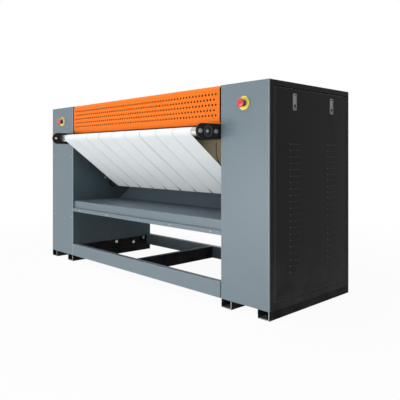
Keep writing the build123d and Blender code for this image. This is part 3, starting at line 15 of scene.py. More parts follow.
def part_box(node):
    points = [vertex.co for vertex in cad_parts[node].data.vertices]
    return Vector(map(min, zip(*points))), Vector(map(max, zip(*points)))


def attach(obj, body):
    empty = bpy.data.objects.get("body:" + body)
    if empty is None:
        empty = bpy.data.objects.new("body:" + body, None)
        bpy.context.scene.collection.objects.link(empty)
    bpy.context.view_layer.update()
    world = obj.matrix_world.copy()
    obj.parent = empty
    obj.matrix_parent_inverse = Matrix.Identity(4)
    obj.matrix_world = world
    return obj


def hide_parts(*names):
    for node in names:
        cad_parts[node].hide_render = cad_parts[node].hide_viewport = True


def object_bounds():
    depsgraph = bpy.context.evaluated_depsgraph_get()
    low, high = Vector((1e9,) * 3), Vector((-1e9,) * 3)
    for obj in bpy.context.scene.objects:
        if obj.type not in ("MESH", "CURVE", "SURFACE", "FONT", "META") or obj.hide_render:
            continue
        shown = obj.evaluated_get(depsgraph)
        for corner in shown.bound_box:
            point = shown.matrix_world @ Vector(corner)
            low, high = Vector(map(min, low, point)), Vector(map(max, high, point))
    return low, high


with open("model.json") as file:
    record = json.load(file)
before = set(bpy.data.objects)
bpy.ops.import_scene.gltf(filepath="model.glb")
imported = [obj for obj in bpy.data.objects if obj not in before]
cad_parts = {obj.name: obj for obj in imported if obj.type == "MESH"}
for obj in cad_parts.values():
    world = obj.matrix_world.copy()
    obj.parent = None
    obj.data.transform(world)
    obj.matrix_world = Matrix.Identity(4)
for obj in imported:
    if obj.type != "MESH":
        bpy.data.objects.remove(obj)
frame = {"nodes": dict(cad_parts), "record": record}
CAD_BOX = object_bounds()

LOG = logging.getLogger("ironer")

Colour = tuple[float, float, float]
Point = tuple[float, float, float]
Profile = Sequence[tuple[float, float]]
Value = Union["Wire", float, Sequence[float]]
Corners = list[bmesh.types.BMVert]
Edges = list[bmesh.types.BMEdge]
Faces = list[bmesh.types.BMFace]

MM = 0.001
ALONG_X = Vector((1.0, 0.0, 0.0))
ALONG_Y = Vector((0.0, 1.0, 0.0))


class Side(Enum):
    """The two ends of the machine, as the operator sees them."""

    LEFT = -1
    RIGHT = 1

    @property
    def tag(self) -> str:
        """The word that ends the names of this side's pieces."""
        return self.name.lower()


def srgb(red: int, green: int, blue: int) -> Colour:
    """Turn a display colour into the linear values that shaders take.

    Args:
        red: Red from 0 to 255.
        green: Green from 0 to 255.
        blue: Blue from 0 to 255.

    Returns:
        The linear colour.
    """
    shares = (channel / 255 for channel in (red, green, blue))
    return tuple(s / 12.92 if s <= 0.04045 else ((s + 0.055) / 1.055) ** 2.4 for s in shares)


FLOOR_DUST = srgb(168, 164, 156)
# Pale bare steel, also laid on as a painted highlight and as painted light on channel floors.
BARE_STEEL_HIGHLIGHT = srgb(205, 205, 202)
SCORCH = srgb(150, 122, 84)
WHITE = (1.0, 1.0, 1.0)

# ---------------------------------------------------------------- shader wiring
def arithmetic(operation: str, swapped: bool = False) -> Callable[["Wire", Value], "Wire"]:
    """Make the method that stands for an arithmetic sign.

    Args:
        operation: What the Math node does.
        swapped: Put the other value first, for a wire on the right of its sign.

    Returns:
        The method.
    """
    if swapped:
        return lambda wire, other: wire.maths(operation, other, wire)
    return lambda wire, other: wire.maths(operation, wire, other)


class Wire:
    """One value on its way between two nodes, written in ordinary arithmetic."""

    def __init__(self, graph: "Graph", socket: bpy.types.NodeSocket) -> None:
        """Keep the socket that gives the value."""
        self.graph = graph
        self.socket = socket

    def other(self, output: int | str) -> "Wire":
        """Another output of the same node."""
        return Wire(self.graph, self.socket.node.outputs[output])

    def maths(self, operation: str, first: Value, second: Value = 0.0) -> "Wire":
        """A Math node on two values."""
        return self.graph.node("ShaderNodeMath", {"operation": operation}, {0: first, 1: second})

    __add__ = __radd__ = arithmetic("ADD")
    __sub__ = arithmetic("SUBTRACT")
    __rsub__ = arithmetic("SUBTRACT", swapped=True)
    __mul__ = arithmetic("MULTIPLY")
    __pow__ = arithmetic("POWER")

    def between(self, low: float, high: float) -> "Wire":
        """The value as a share of the way from low to high, held from 0 to 1."""
        bounds = {"Value": self, "From Min": low, "From Max": high}
        return self.graph.node("ShaderNodeMapRange", {"clamp": True}, bounds)

    def ripple(self, pitch: float) -> "Wire":
        """A sine wave from -1 to 1 that repeats at a pitch in metres."""
        return self.maths("SINE", self * (2 * math.pi / pitch))


class Graph:
    """The node tree of a material or of the world."""

    def __init__(self, owner: bpy.types.Material | bpy.types.World) -> None:
        """Give the owner its standard nodes."""
        owner.use_nodes = True
        self.tree = owner.node_tree

    def feed(self, socket: bpy.types.NodeSocket, value: Value) -> None:
        """Link a wire to a socket, or write a number or colour on it.

        Args:
            socket: The input.
            value: What it takes.
        """
        if isinstance(value, Wire):
            self.tree.links.new(value.socket, socket)
        elif socket.type == "RGBA":
            socket.default_value = (*value, 1.0)
        else:
            socket.default_value = value

    def node(
        self,
        kind: str,
        settings: dict | None = None,
        inputs: dict | None = None,
        output: int | str = 0,
    ) -> Wire:
        """Add a node.

        Args:
            kind: The node's type.
            settings: Its own properties, set first.
            inputs: Values or wires for its sockets, by name or number.
            output: The output that is wanted.

        Returns:
            The wire from that output.
        """
        made = self.tree.nodes.new(kind)
        for name, value in (settings or {}).items():
            setattr(made, name, value)
        for name, value in (inputs or {}).items():
            self.feed(made.inputs[name], value)
        return Wire(self, made.outputs[output])

    def place(self) -> Wire:
        """Where a point is in the machine, in metres."""
        return self.node("ShaderNodeTexCoord", output="Object")

    def stretched(self, x: float, y: float, z: float) -> Wire:
        """The place with each axis scaled, for grain that runs one way."""
        inputs = {"Vector": self.place(), "Scale": (x, y, z)}
        return self.node("ShaderNodeMapping", {"vector_type": "POINT"}, inputs)

    def cloth_place(self) -> Wire:
        """Where a point is on unrolled cloth: across, then along, in metres."""
        return self.node("ShaderNodeUVMap", {"uv_map": "cloth"})

    def axes(self, place: Wire) -> tuple[Wire, Wire, Wire]:
        """The three numbers of a place."""
        split = self.node("ShaderNodeSeparateXYZ", inputs={0: place})
        return split, split.other(1), split.other(2)

    def trait(self, name: str) -> Wire:
        """A number that the mesh carries, such as how far a face is a rubbed edge."""
        return self.node("ShaderNodeAttribute", {"attribute_name": name}, output="Fac")

    def noise(self, place: Wire, scale: float, detail: float = 2.0) -> Wire:
        """Smooth noise of about 0 to 1, with scale lumps to the metre."""
        return self.node(
            "ShaderNodeTexNoise", inputs={"Vector": place, "Scale": scale, "Detail": detail}
        )

    def cells(self, place: Wire, scale: float) -> Wire:
        """Distance to the nearest of scattered points, scale of them to the metre."""
        return self.node("ShaderNodeTexVoronoi", inputs={"Vector": place, "Scale": scale})

    def blend(self, share: Value, first: Value, second: Value) -> Wire:
        """A colour between two colours."""
        return self.node("ShaderNodeMix", {"data_type": "RGBA"}, {0: share, 6: first, 7: second}, 2)

    def relief(self, height: Wire, depth: float, strength: float) -> Wire:
        """A normal that follows a height, depth metres from lowest to highest."""
        inputs = {"Height": height, "Distance": depth, "Strength": strength}
        return self.node("ShaderNodeBump", inputs=inputs)

    def surface(self, **sockets: Value) -> Wire:
        """Feed the standard shader: each name is a socket's, with _ for a space."""
        shader = self.tree.nodes["Principled BSDF"]
        for name, value in sockets.items():
            self.feed(shader.inputs[name.replace("_", " ")], value)
        return Wire(self, shader.outputs[0])

    def show_either(self, share: Wire, first: Wire, second: Wire) -> None:
        """End the tree with a mix of two shaders."""
        mix = self.node("ShaderNodeMixShader", inputs={0: share, 1: first, 2: second})
        end = next(node for node in self.tree.nodes if node.type.startswith("OUTPUT"))
        self.feed(end.inputs["Surface"], mix)


# ---------------------------------------------------------------- finishes
@dataclass(frozen=True)
class Finish:
    """A surface finish: its own name and the material slot it belongs to."""

    name: str
    slot: str
    colour: Colour

    def material(self) -> bpy.types.Material:
        """The material, made the first time it is asked for."""
        made = bpy.data.materials.get(self.name)
        if made is None:
            made = bpy.data.materials.new(self.name)
            self.lay(Graph(made))
        return made

    def tint(self, share: float) -> Colour:
        """The colour made lighter or darker by a factor, and kept under full white."""
        return tuple(min(1.0, channel * share) for channel in self.colour)

    def lay(self, graph: Graph) -> None:
        """Wire the finish into a graph.

        Args:
            graph: The material's graph.
        """
        raise NotImplementedError


@dataclass(frozen=True)
class PowderCoat(Finish):
    """Baked powder paint: orange peel, uneven gloss, floor dust, edges lightened for wear and as a
    painted highlight, bare cut ends.
    """

    roughness: float = 0.42
    peel: float = 0.16
    drift: float = 0.05
    rubbed: float = 1.5
    gloss: float = 0.5
    dust: float = 0.1

    def lay(self, graph: Graph) -> None:
        """Wire the paint."""
        place = graph.place()
        height = graph.axes(place)[2]
        cloud = graph.noise(place, 1.7, 4.0)
        grit = graph.noise(place, 1900.0)
        smear = graph.noise(graph.stretched(3.0, 3.0, 0.7), 2.6, 5.0).between(0.55, 0.8)
        low = (1 - height.between(0.02, 0.45)) * graph.noise(place, 9.0, 5.0).between(0.35, 0.75)
        coat = graph.blend(cloud, self.tint(1 - self.drift), self.tint(1 + self.drift))
        coat = graph.blend(grit * 0.12, coat, self.tint(1.35))
        # Marked edges and folds lightened: partly wear, partly a painted highlight.
        coat = graph.blend(graph.trait("edge") * 0.7, coat, self.tint(self.rubbed))
        coat = graph.blend(low * self.dust, coat, FLOOR_DUST)
        # Bare steel on cut ends, also a painted highlight on louvre ends and painted light on
        # channel floors.
        coat = graph.blend(graph.trait("sawn"), coat, BARE_STEEL_HIGHLIGHT)
        sheen = self.roughness + (cloud - 0.5) * 0.12 + (grit - 0.5) * 0.1 + smear * 0.08
        peel = graph.noise(place, 430.0, 1.0) * 0.8 + grit * 0.2
        graph.surface(
            Base_Color=coat,
            Roughness=sheen + low * 0.2,
            Specular_IOR_Level=self.gloss,
            Normal=graph.relief(peel, 0.0005, self.peel),
        )


@dataclass(frozen=True)
class GroundSteel(Finish):
    """Bare steel turned about the X axis: fine rings, cloudy tarnish and handling marks."""

    roughness: float = 0.3
    rings: float = 900.0

    def lay(self, graph: Graph) -> None:
        """Wire the steel."""
        place = graph.place()
        lines = graph.noise(graph.stretched(1.0, 0.02, 0.02), self.rings, 3.0)
        cloud = graph.noise(place, 7.0, 5.0)
        marks = graph.noise(graph.stretched(0.5, 3.0, 3.0), 26.0, 6.0).between(0.58, 0.75)
        steel = graph.blend(lines, self.tint(0.84), self.tint(1.08))
        steel = graph.blend(cloud * 0.25, steel, self.tint(0.6))
        graph.surface(
            Base_Color=steel,
            Metallic=1.0,
            Roughness=self.roughness + (lines - 0.5) * 0.16 + marks * 0.14,
            Normal=graph.relief(lines, 0.0001, 0.25),
        )


@dataclass(frozen=True)
class PlatedSteel(Finish):
    """Plated fasteners and latches: bright, with a mottled passivated bloom."""

    roughness: float = 0.24
    brushed: bool = False
    worn: float = 1.3

    def lay(self, graph: Graph) -> None:
        """Wire the plating."""
        place = graph.place()
        bloom = graph.noise(place, 70.0, 5.0)
        spangle = graph.cells(place, 520.0)
        stroke = graph.noise(graph.stretched(1.0, 1.0, 0.03), 1600.0, 2.0)
        mark = stroke if self.brushed else spangle
        plate = graph.blend(bloom.between(0.4, 0.75), self.colour, self.tint(0.72))
        # Marked edges lightened for wear and as a painted highlight.
        plate = graph.blend(graph.trait("edge") * 0.6, plate, self.tint(self.worn))
        graph.surface(
            Base_Color=plate,
            Metallic=1.0,
            Roughness=self.roughness + (mark - 0.4) * 0.12 + bloom * 0.08,
            Normal=graph.relief(mark, 0.0001, 0.2),
        )


@dataclass(frozen=True)
class Ironwork(Finish):
    """Cast or turned iron: pitted skin, oil-dark hollows and a dull sheen."""

    roughness: float = 0.55
    metal: float = 0.4
    worn: float = 2.6

    def lay(self, graph: Graph) -> None:
        """Wire the iron."""
        place = graph.place()
        pits = graph.cells(place, 380.0)
        stain = graph.noise(place, 24.0, 6.0)
        iron = graph.blend(stain, self.tint(0.6), self.tint(1.5))
        # Marked edges lightened for wear and as a painted highlight.
        iron = graph.blend(graph.trait("edge") * 0.8, iron, self.tint(self.worn))
        graph.surface(
            Base_Color=iron,
            Metallic=self.metal,
            Roughness=self.roughness + (stain - 0.5) * 0.2,
            Normal=graph.relief(pits + stain * 0.3, 0.0006, 0.35),
        )


@dataclass(frozen=True)
class RibbonWeave(Finish):
    """Plain-woven ribbon: over and under threads, ribbed selvedges and slight soiling."""

    thread: float = 1.3 * MM
    selvedge: float = 3.0 * MM

    def lay(self, graph: Graph) -> None:
        """Wire the weave."""
        cloth = graph.cloth_place()
        across, along, _ = graph.axes(cloth)
        weave = across.ripple(self.thread) * along.ripple(self.thread)
        slub = graph.noise(graph.stretched(60.0, 2.0, 2.0), 9.0, 3.0)
        soil = graph.noise(cloth, 3.2, 5.0)
        inset = graph.trait("selvedge")
        base = graph.blend(soil * 0.35, self.colour, self.tint(0.88))
        base = graph.blend(weave * 0.05 + slub * 0.12, base, self.tint(0.8))
        base = graph.blend(inset * 0.5, base, self.tint(0.72))
        height = weave * (1 - inset) + along.ripple(self.thread * 1.5) * inset
        graph.surface(
            Base_Color=base,
            Roughness=0.78 + (soil - 0.5) * 0.12,
            Specular_IOR_Level=0.25,
            Sheen_Weight=0.15,
            Sheen_Roughness=0.5,
            Normal=graph.relief(height + slub * 0.4, 0.0003, 0.3),
        )


@dataclass(frozen=True)
class NeedledFelt(Finish):
    """Aramid belt felt: matted fibre with needle rows and a scorched, polished face."""

    def lay(self, graph: Graph) -> None:
        """Wire the felt."""
        cloth = graph.cloth_place()
        across, along, _ = graph.axes(cloth)
        fibre = graph.noise(graph.place(), 900.0, 6.0)
        scorch = graph.noise(cloth, 2.4, 5.0).between(0.45, 0.8)
        needle = across.ripple(4 * MM) * along.ripple(9 * MM)
        base = graph.blend(fibre, self.tint(0.8), self.tint(1.12))
        base = graph.blend(scorch * 0.45, base, SCORCH)
        graph.surface(
            Base_Color=base,
            Roughness=0.92 - scorch * 0.15,
            Specular_IOR_Level=0.2,
            Sheen_Weight=0.3,
            Normal=graph.relief(fibre + needle * 0.3, 0.0008, 0.5),
        )


@dataclass(frozen=True)
class FibreBoard(Finish):
    """Pressed insulation board: chopped fibre, mottled tan, slightly fuzzy."""

    def lay(self, graph: Graph) -> None:
        """Wire the board."""
        place = graph.place()
        fibre = graph.noise(graph.stretched(1.0, 1.0, 5.0), 160.0, 6.0)
        flake = graph.cells(place, 90.0)
        tint = graph.noise(place, 4.0, 4.0)
        base = graph.blend(fibre, self.tint(0.78), self.tint(1.22))
        base = graph.blend(flake.between(0.25, 0.7) * 0.35, base, self.tint(1.5))
        base = graph.blend(tint.between(0.45, 0.7) * 0.4, base, self.tint(0.7))
        graph.surface(
            Base_Color=base,
            Roughness=0.86 + (fibre - 0.5) * 0.1,
            Specular_IOR_Level=0.25,
            Normal=graph.relief(fibre + flake * 0.4, 0.0008, 0.4),
        )


@dataclass(frozen=True)
class Moulded(Finish):
    """Moulded plastic or rubber: even colour, fine spark-eroded grain, dull scuffed patches, edges
    with a painted highlight.
    """

    roughness: float = 0.28
    grain: float = 700.0
    coat: float = 0.0

    def lay(self, graph: Graph) -> None:
        """Wire the moulding."""
        place = graph.place()
        spark = graph.noise(place, self.grain, 3.0)
        rub = graph.noise(place, 34.0, 4.0)
        base = graph.blend(rub, self.tint(0.92), self.tint(1.07))
        # Marked edges lightened as a painted highlight, partly wear.
        base = graph.blend(graph.trait("edge") * 0.35, base, self.tint(1.4))
        graph.surface(
            Base_Color=base,
            Roughness=self.roughness + rub.between(0.5, 0.8) * 0.14 + (spark - 0.5) * 0.08,
            Coat_Weight=self.coat,
            Normal=graph.relief(spark, 0.0002, 0.15),
        )


# Each paint's edge factor sets how far marked edges lighten, for wear and as a painted highlight.
BODY = PowderCoat("blue_grey_powder", "body_paint", (0.146, 0.194, 0.226), rubbed=2.4)
# Charcoal paint, darkened partly as painted shade on the side faces; its high edge factor paints
# highlights on folds and louvres.
FRAME = PowderCoat(
    "charcoal_powder", "frame_paint", (0.0115, 0.012, 0.012), gloss=0.06, rubbed=6.0
)
# Near-black, darker than the frame paint as painted shade under the machine; its high edge factor
# paints bright highlights on edges and cut ends.
SHADED_UNDERFRAME = PowderCoat(
    "satin_black_powder", "frame_paint", (0.004, 0.0045, 0.005), gloss=0.03, rubbed=16.0
)
# The blue-grey body paint darkened as painted shade, for the parts in its slot that stand in shade,
# such as the inner walls and the rear beam.
SHADED_BLUE_GREY = PowderCoat(
    "dark_blue_grey_powder", "wall_paint", (0.056, 0.08, 0.094), gloss=0.2, rubbed=2.0
)
HOOD = PowderCoat("orange_powder", "hood_paint", (0.85, 0.178, 0.012), gloss=0.16, rubbed=1.12)
BLACK = PowderCoat(
    "matt_black_coat", "black_metal", (0.011, 0.011, 0.014), 0.5, 0.3, rubbed=5.0, gloss=0.2
)
# Near-black bearing skin; its marked rims get a strong painted highlight.
BEARING = Ironwork("bearing_iron_skin", "bearing_iron", (0.013, 0.013, 0.014), worn=7.0)
ROLLER = GroundSteel("ground_roller_steel", "roller_steel", (0.62, 0.6, 0.56))
CYLINDER = GroundSteel("polished_cylinder_steel", "cylinder_steel", (0.6, 0.6, 0.6), 0.14, 2200.0)
RIBBON = RibbonWeave("white_ribbon_weave", "ribbon_fabric", (0.82, 0.86, 0.875))
FELT = NeedledFelt("cream_belt_felt", "belt_fabric", (0.36, 0.31, 0.23))
# Tan board, its colour made paler as painted light for the light that reaches it inside the
# machine.
BOARD = FibreBoard("tan_fibre_board", "board", (0.85, 0.67, 0.43))
ZINC = PlatedSteel("bright_zinc_plate", "bolt_zinc", (0.5, 0.5, 0.49))
CHROME = PlatedSteel("satin_chrome_plate", "latch_chrome", (0.2, 0.2, 0.205), 0.34, True, 2.6)
YELLOW = Moulded("gloss_yellow_moulding", "stop_yellow", (0.9, 0.76, 0.1), coat=0.4)
RED = Moulded("gloss_red_moulding", "stop_red", (0.66, 0.03, 0.035), 0.2, coat=0.6)
STEM = Moulded("dark_stem_moulding", "stem_plastic", (0.05, 0.05, 0.05), 0.45)
CABLE = Moulded("dark_cable_sheath", "cable_rubber", (0.02, 0.017, 0.012), 0.55, 1500.0)
DRIVE = Moulded("black_drive_rubber", "drive_rubber", (0.015, 0.015, 0.015), 0.7, 1200.0)
PULLEY = Ironwork("turned_pulley_iron", "pulley_iron", (0.16, 0.16, 0.17), 0.4, 0.9)
MOTOR = PowderCoat("motor_enamel", "motor_paint", (0.1, 0.16, 0.22), 0.35, 0.3)
BOX = PowderCoat("light_grey_powder", "box_paint", (0.5, 0.5, 0.48), rubbed=1.2)

FINISHES = {
    finish.slot: finish
    for finish in (
        BODY, FRAME, SHADED_BLUE_GREY, HOOD, BLACK, BEARING, ROLLER, CYLINDER, RIBBON, FELT, BOARD,
        ZINC, CHROME, YELLOW, RED, STEM, CABLE, DRIVE, PULLEY, MOTOR, BOX,
    )
}
SLOTS = {part["node"]: part["material_slot"] for part in frame["record"]["subparts"]}


def finish_of(node: str) -> Finish:
    """The finish of a node's material slot."""
    return FINISHES[SLOTS[node]]


# ---------------------------------------------------------------- mesh shaping
def metres(profile: Profile) -> list[tuple[float, float]]:
    """A turned profile given in millimetres, in metres."""
    return [(along * MM, radius * MM) for along, radius in profile]


def both_ends(half: Profile) -> list[tuple[float, float]]:
    """A whole turned profile from its right half, which starts at the middle."""
    return [(-along, radius) for along, radius in reversed(half)] + list(half)


def heading(start: Vector, end: Vector) -> float:
    """The direction from one point of the YZ plane to another, in degrees from +Y towards +Z."""
    run = end - start
    return math.degrees(math.atan2(run.y, run.x))


def stand(name: str, data: bpy.types.ID) -> bpy.types.Object:
    """Put object data into the scene under a name."""
    made = bpy.data.objects.new(name, data)
    bpy.context.scene.collection.objects.link(made)
    return made


def enrol(piece: bpy.types.Object, finish: Finish, body: str, replaces: Iterable[str]) -> None:
    """Give a piece its finish, the body that it rides on and the nodes that it stands for.

    Args:
        piece: The piece.
        finish: Its finish.
        body: The body that it rides on.
        replaces: The nodes that it stands for.
    """
    piece.data.materials.append(finish.material())
    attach(piece, body)
    if replaces:
        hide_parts(*replaces)
class Form:
    """A mesh being shaped, in metres, where it stands in the machine."""

    merge_distance: float = 1e-5
    pole_distance: float = 1e-7
    flat_angle: float = math.radians(0.6)
    crease_angle: float = math.radians(32)
    # Share of painted light on a channel's floor between its flanges.
    floor_share: float = 0.3

    def __init__(self, node: str | None = None) -> None:
        """Start empty, or from a merged copy of a node of the frame.

        Args:
            node: The node that is copied, if any.
        """
        self.mesh = bmesh.new()
        if node:
            self.mesh.from_mesh(frame["nodes"][node].data)
            bmesh.ops.remove_doubles(self.mesh, verts=self.mesh.verts, dist=self.merge_distance)
            bmesh.ops.dissolve_limit(
                self.mesh, angle_limit=self.flat_angle, verts=self.mesh.verts, edges=self.mesh.edges
            )
        # The edge mark lightens a face for wear and as a painted highlight.
        self.edge = self.mesh.faces.layers.float.new("edge")
        # This mark lays bare steel on cut ends, and painted light on louvre ends and channel
        # floors.
        self.sawn = self.mesh.faces.layers.float.new("sawn")
        self.selvedge = self.mesh.verts.layers.float.new("selvedge")
        self.along = self.mesh.verts.layers.float.new("along")
        self.unrolled = False

    def round_edges(self, edges: Edges, width: float, segments: int = 2) -> "Form":
        """Round edges, and mark the new faces to be lightened, for wear and as a painted highlight.

        Args:
            edges: Edges to round.
            width: Width of the rounding.
            segments: Faces across it.

        Returns:
            The form.
        """
        made = bmesh.ops.bevel(
            self.mesh,
            geom=edges,
            offset=width,
            offset_type="OFFSET",
            segments=segments,
            profile=0.5,
            affect="EDGES",
            material=-1,
            clamp_overlap=True,
        )
        for face in made["faces"]:
            face[self.edge] = 1.0
        return self

    def soften(self, width: float, shortest: float = 15 * MM, angle: float = 40.0) -> "Form":
        """Round every long sharp edge of the form.

        Args:
            width: Width of the rounding.
            shortest: Edges under this length stay sharp.
            angle: Edges that turn less than this many degrees stay as they are.

        Returns:
            The form.
        """
        sharp = [
            edge
            for edge in self.mesh.edges
            if edge.calc_length() > shortest and edge.calc_face_angle(0.0) > math.radians(angle)
        ]
        return self.round_edges(sharp, width) if sharp else self

    def mark_folds(self, widest: float = 3 * MM) -> "Form":
        """Mark the narrow slanting faces of folds and chamfers to be lightened as a painted
        highlight and for wear.

        Args:
            widest: Faces wider than this stay unmarked.

        Returns:
            The form.
        """
        for face in self.mesh.faces:
            slanting = max(abs(part) for part in face.normal) < 0.995
            length = max(edge.calc_length() for edge in face.edges)
            if slanting and face.calc_area() < widest * length:
                face[self.edge] = 1.0
        return self

    def mark_sawn(self) -> "Form":
        """Mark a channel's cut ends along Y as bare steel that also serves as a painted highlight,
        and its floor between the flanges paler as painted light.
        """
        for face in self.mesh.faces:
            if abs(face.normal.y) > 0.9:
                face[self.sawn] = 1.0
            elif face.normal.z > 0.99 and face.calc_center_median().z < 10 * MM:
                face[self.sawn] = self.floor_share
        return self

    def slab(self, low: Sequence[float], high: Sequence[float], rounding: float = 0.0) -> "Form":
        """Add a box between two corners, with its edges rounded.

        Args:
            low: Lowest corner.
            high: Highest corner.
            rounding: Width of the rounding of its edges.

        Returns:
            The form.
        """
        low, high = Vector(low), Vector(high)
        place = Matrix.Translation((low + high) / 2) @ Matrix.Diagonal((*(high - low), 1.0))
        verts = bmesh.ops.create_cube(self.mesh, size=1.0, matrix=place)["verts"]
        if rounding:
            edges = list({edge for vert in verts for edge in vert.link_edges})
            self.round_edges(edges, rounding)
        return self

    def lathe(
        self, profile: Profile, centre: Vector, axis: Vector, steps: int = 48, closed: bool = False
    ) -> "Form":
        """Add a turned shape.

        Args:
            profile: Pairs of a distance along the axis and a radius.
            centre: The point on the axis that distances start from.
            axis: Direction of the axis.
            steps: Faces round it.
            closed: Join the profile's end to its start, for a ring.

        Returns:
            The form.
        """
        arm = axis.orthogonal().normalized()
        points = [centre + axis * along + arm * radius for along, radius in profile]
        verts = [self.mesh.verts.new(point) for point in points]
        following = verts[1:] + verts[:1] if closed else verts[1:]
        edges = [self.mesh.edges.new(pair) for pair in zip(verts, following)]
        bmesh.ops.spin(
            self.mesh,
            geom=verts + edges,
            cent=centre,
            axis=axis,
            angle=2 * math.pi,
            steps=steps,
            use_merge=True,
        )
        bmesh.ops.remove_doubles(self.mesh, verts=self.mesh.verts, dist=self.pole_distance)
        return self

    def folded(self, line: Profile, span: tuple[float, float], radius: float) -> "Form":
        """Fold an open sheet whose face follows a line in the YZ plane.

        Args:
            line: Corners of the face, as (y, z).
            span: Where the sheet starts and ends along X.
            radius: Bend radius at every corner.

        Returns:
            The form.
        """
        ways = [(Vector(start), Vector(end)) for start, end in zip(line, line[1:])]
        headings = [heading(*way) for way in ways]
        changes = (after - before for before, after in zip(headings, headings[1:]))
        turns = [(change + 180) % 360 - 180 for change in changes]
        trims = [0.0, *(radius * math.tan(math.radians(abs(turn)) / 2) for turn in turns), 0.0]
        ends = [self.mesh.verts.new((x, *line[0])) for x in span]
        course = Course(self, [self.mesh.edges.new(ends)], line[0], headings[0])
        for (start, end), before, after, turn in zip(ways, trims, trims[1:], [*turns, 0.0]):
            course.run((end - start).length - before - after)
            if turn:
                course.bend(radius, turn)
        return self

    def turned_over(self) -> "Form":
        """The mirror image for the other end of the machine."""
        bmesh.ops.scale(self.mesh, vec=(-1.0, 1.0, 1.0), verts=self.mesh.verts)
        bmesh.ops.reverse_faces(self.mesh, faces=self.mesh.faces)
        return self

    def pierce(self, plane: Vector, level: float, outlines: Edges) -> "Form":
        """Cut a flat face that lies in a plane by closed outlines inside it.

        Args:
            plane: The face's normal, either way round.
            level: The plane's distance from the origin along that normal.
            outlines: Edges of the closed outlines.

        Returns:
            The form.
        """
        near = [
            face
            for face in self.mesh.faces
            if abs(face.calc_center_median().dot(plane) - level) < self.merge_distance
            and abs(face.normal.dot(plane)) > 0.999
        ]
        face = max(near, key=lambda one: one.calc_area())
        border = list(face.edges)
        bmesh.ops.delete(self.mesh, geom=[face], context="FACES_ONLY")
        bmesh.ops.triangle_fill(self.mesh, use_beauty=True, edges=border + outlines)
        return self

    def thicken(self, thickness: float, outside: Vector) -> "Form":
        """Give an open sheet its thickness, on the side away from a point outside it.

        Args:
            thickness: Thickness of the sheet.
            outside: A point in front of the sheet's largest face.

        Returns:
            The form.
        """
        bmesh.ops.recalc_face_normals(self.mesh, faces=self.mesh.faces)
        largest = max(self.mesh.faces, key=lambda face: face.calc_area())
        if largest.normal.dot(outside - largest.calc_center_median()) < 0:
            bmesh.ops.reverse_faces(self.mesh, faces=self.mesh.faces)
        bmesh.ops.solidify(self.mesh, geom=list(self.mesh.faces), thickness=thickness)
        return self

    def unroll(self) -> None:
        """Write the cloth map: across is X, and along is the length run so far."""
        cloth = self.mesh.loops.layers.uv.new("cloth")
        total = max(vert[self.along] for vert in self.mesh.verts)
        for face in self.mesh.faces:
            lengths = [loop.vert[self.along] for loop in face.loops]
            wraps = max(lengths) - min(lengths) > total / 2
            for loop, length in zip(face.loops, lengths):
                shift = total if wraps and length < total / 2 else 0.0
                loop[cloth].uv = (loop.vert.co.x, length + shift)

    def show(
        self,
        name: str,
        finish: Finish,
        body: str = "root",
        replaces: Iterable[str] = (),
        closed: bool = True,
    ) -> bpy.types.Object:
        """Finish the mesh and put the piece into the machine.

        Args:
            name: The piece's name.
            finish: Its finish.
            body: The body that it rides on.
            replaces: The nodes that it stands for.
            closed: Turn its faces outwards, which a copied node has no need of.

        Returns:
            The piece.
        """
        if closed:
            bmesh.ops.recalc_face_normals(self.mesh, faces=self.mesh.faces)
        if self.unrolled:
            self.unroll()
        for face in self.mesh.faces:
            face.smooth = True
        for edge in self.mesh.edges:
            edge.smooth = edge.calc_face_angle(math.pi) < self.crease_angle
        data = bpy.data.meshes.new(name)
        self.mesh.to_mesh(data)
        self.mesh.free()
        piece = stand(name, data)
        enrol(piece, finish, body, replaces)
        if not self.unrolled:
            piece.modifiers.new("weighted", "WEIGHTED_NORMAL").keep_sharp = True
        LOG.info("%s: %d faces on %s", name, len(data.polygons), body)
        return piece


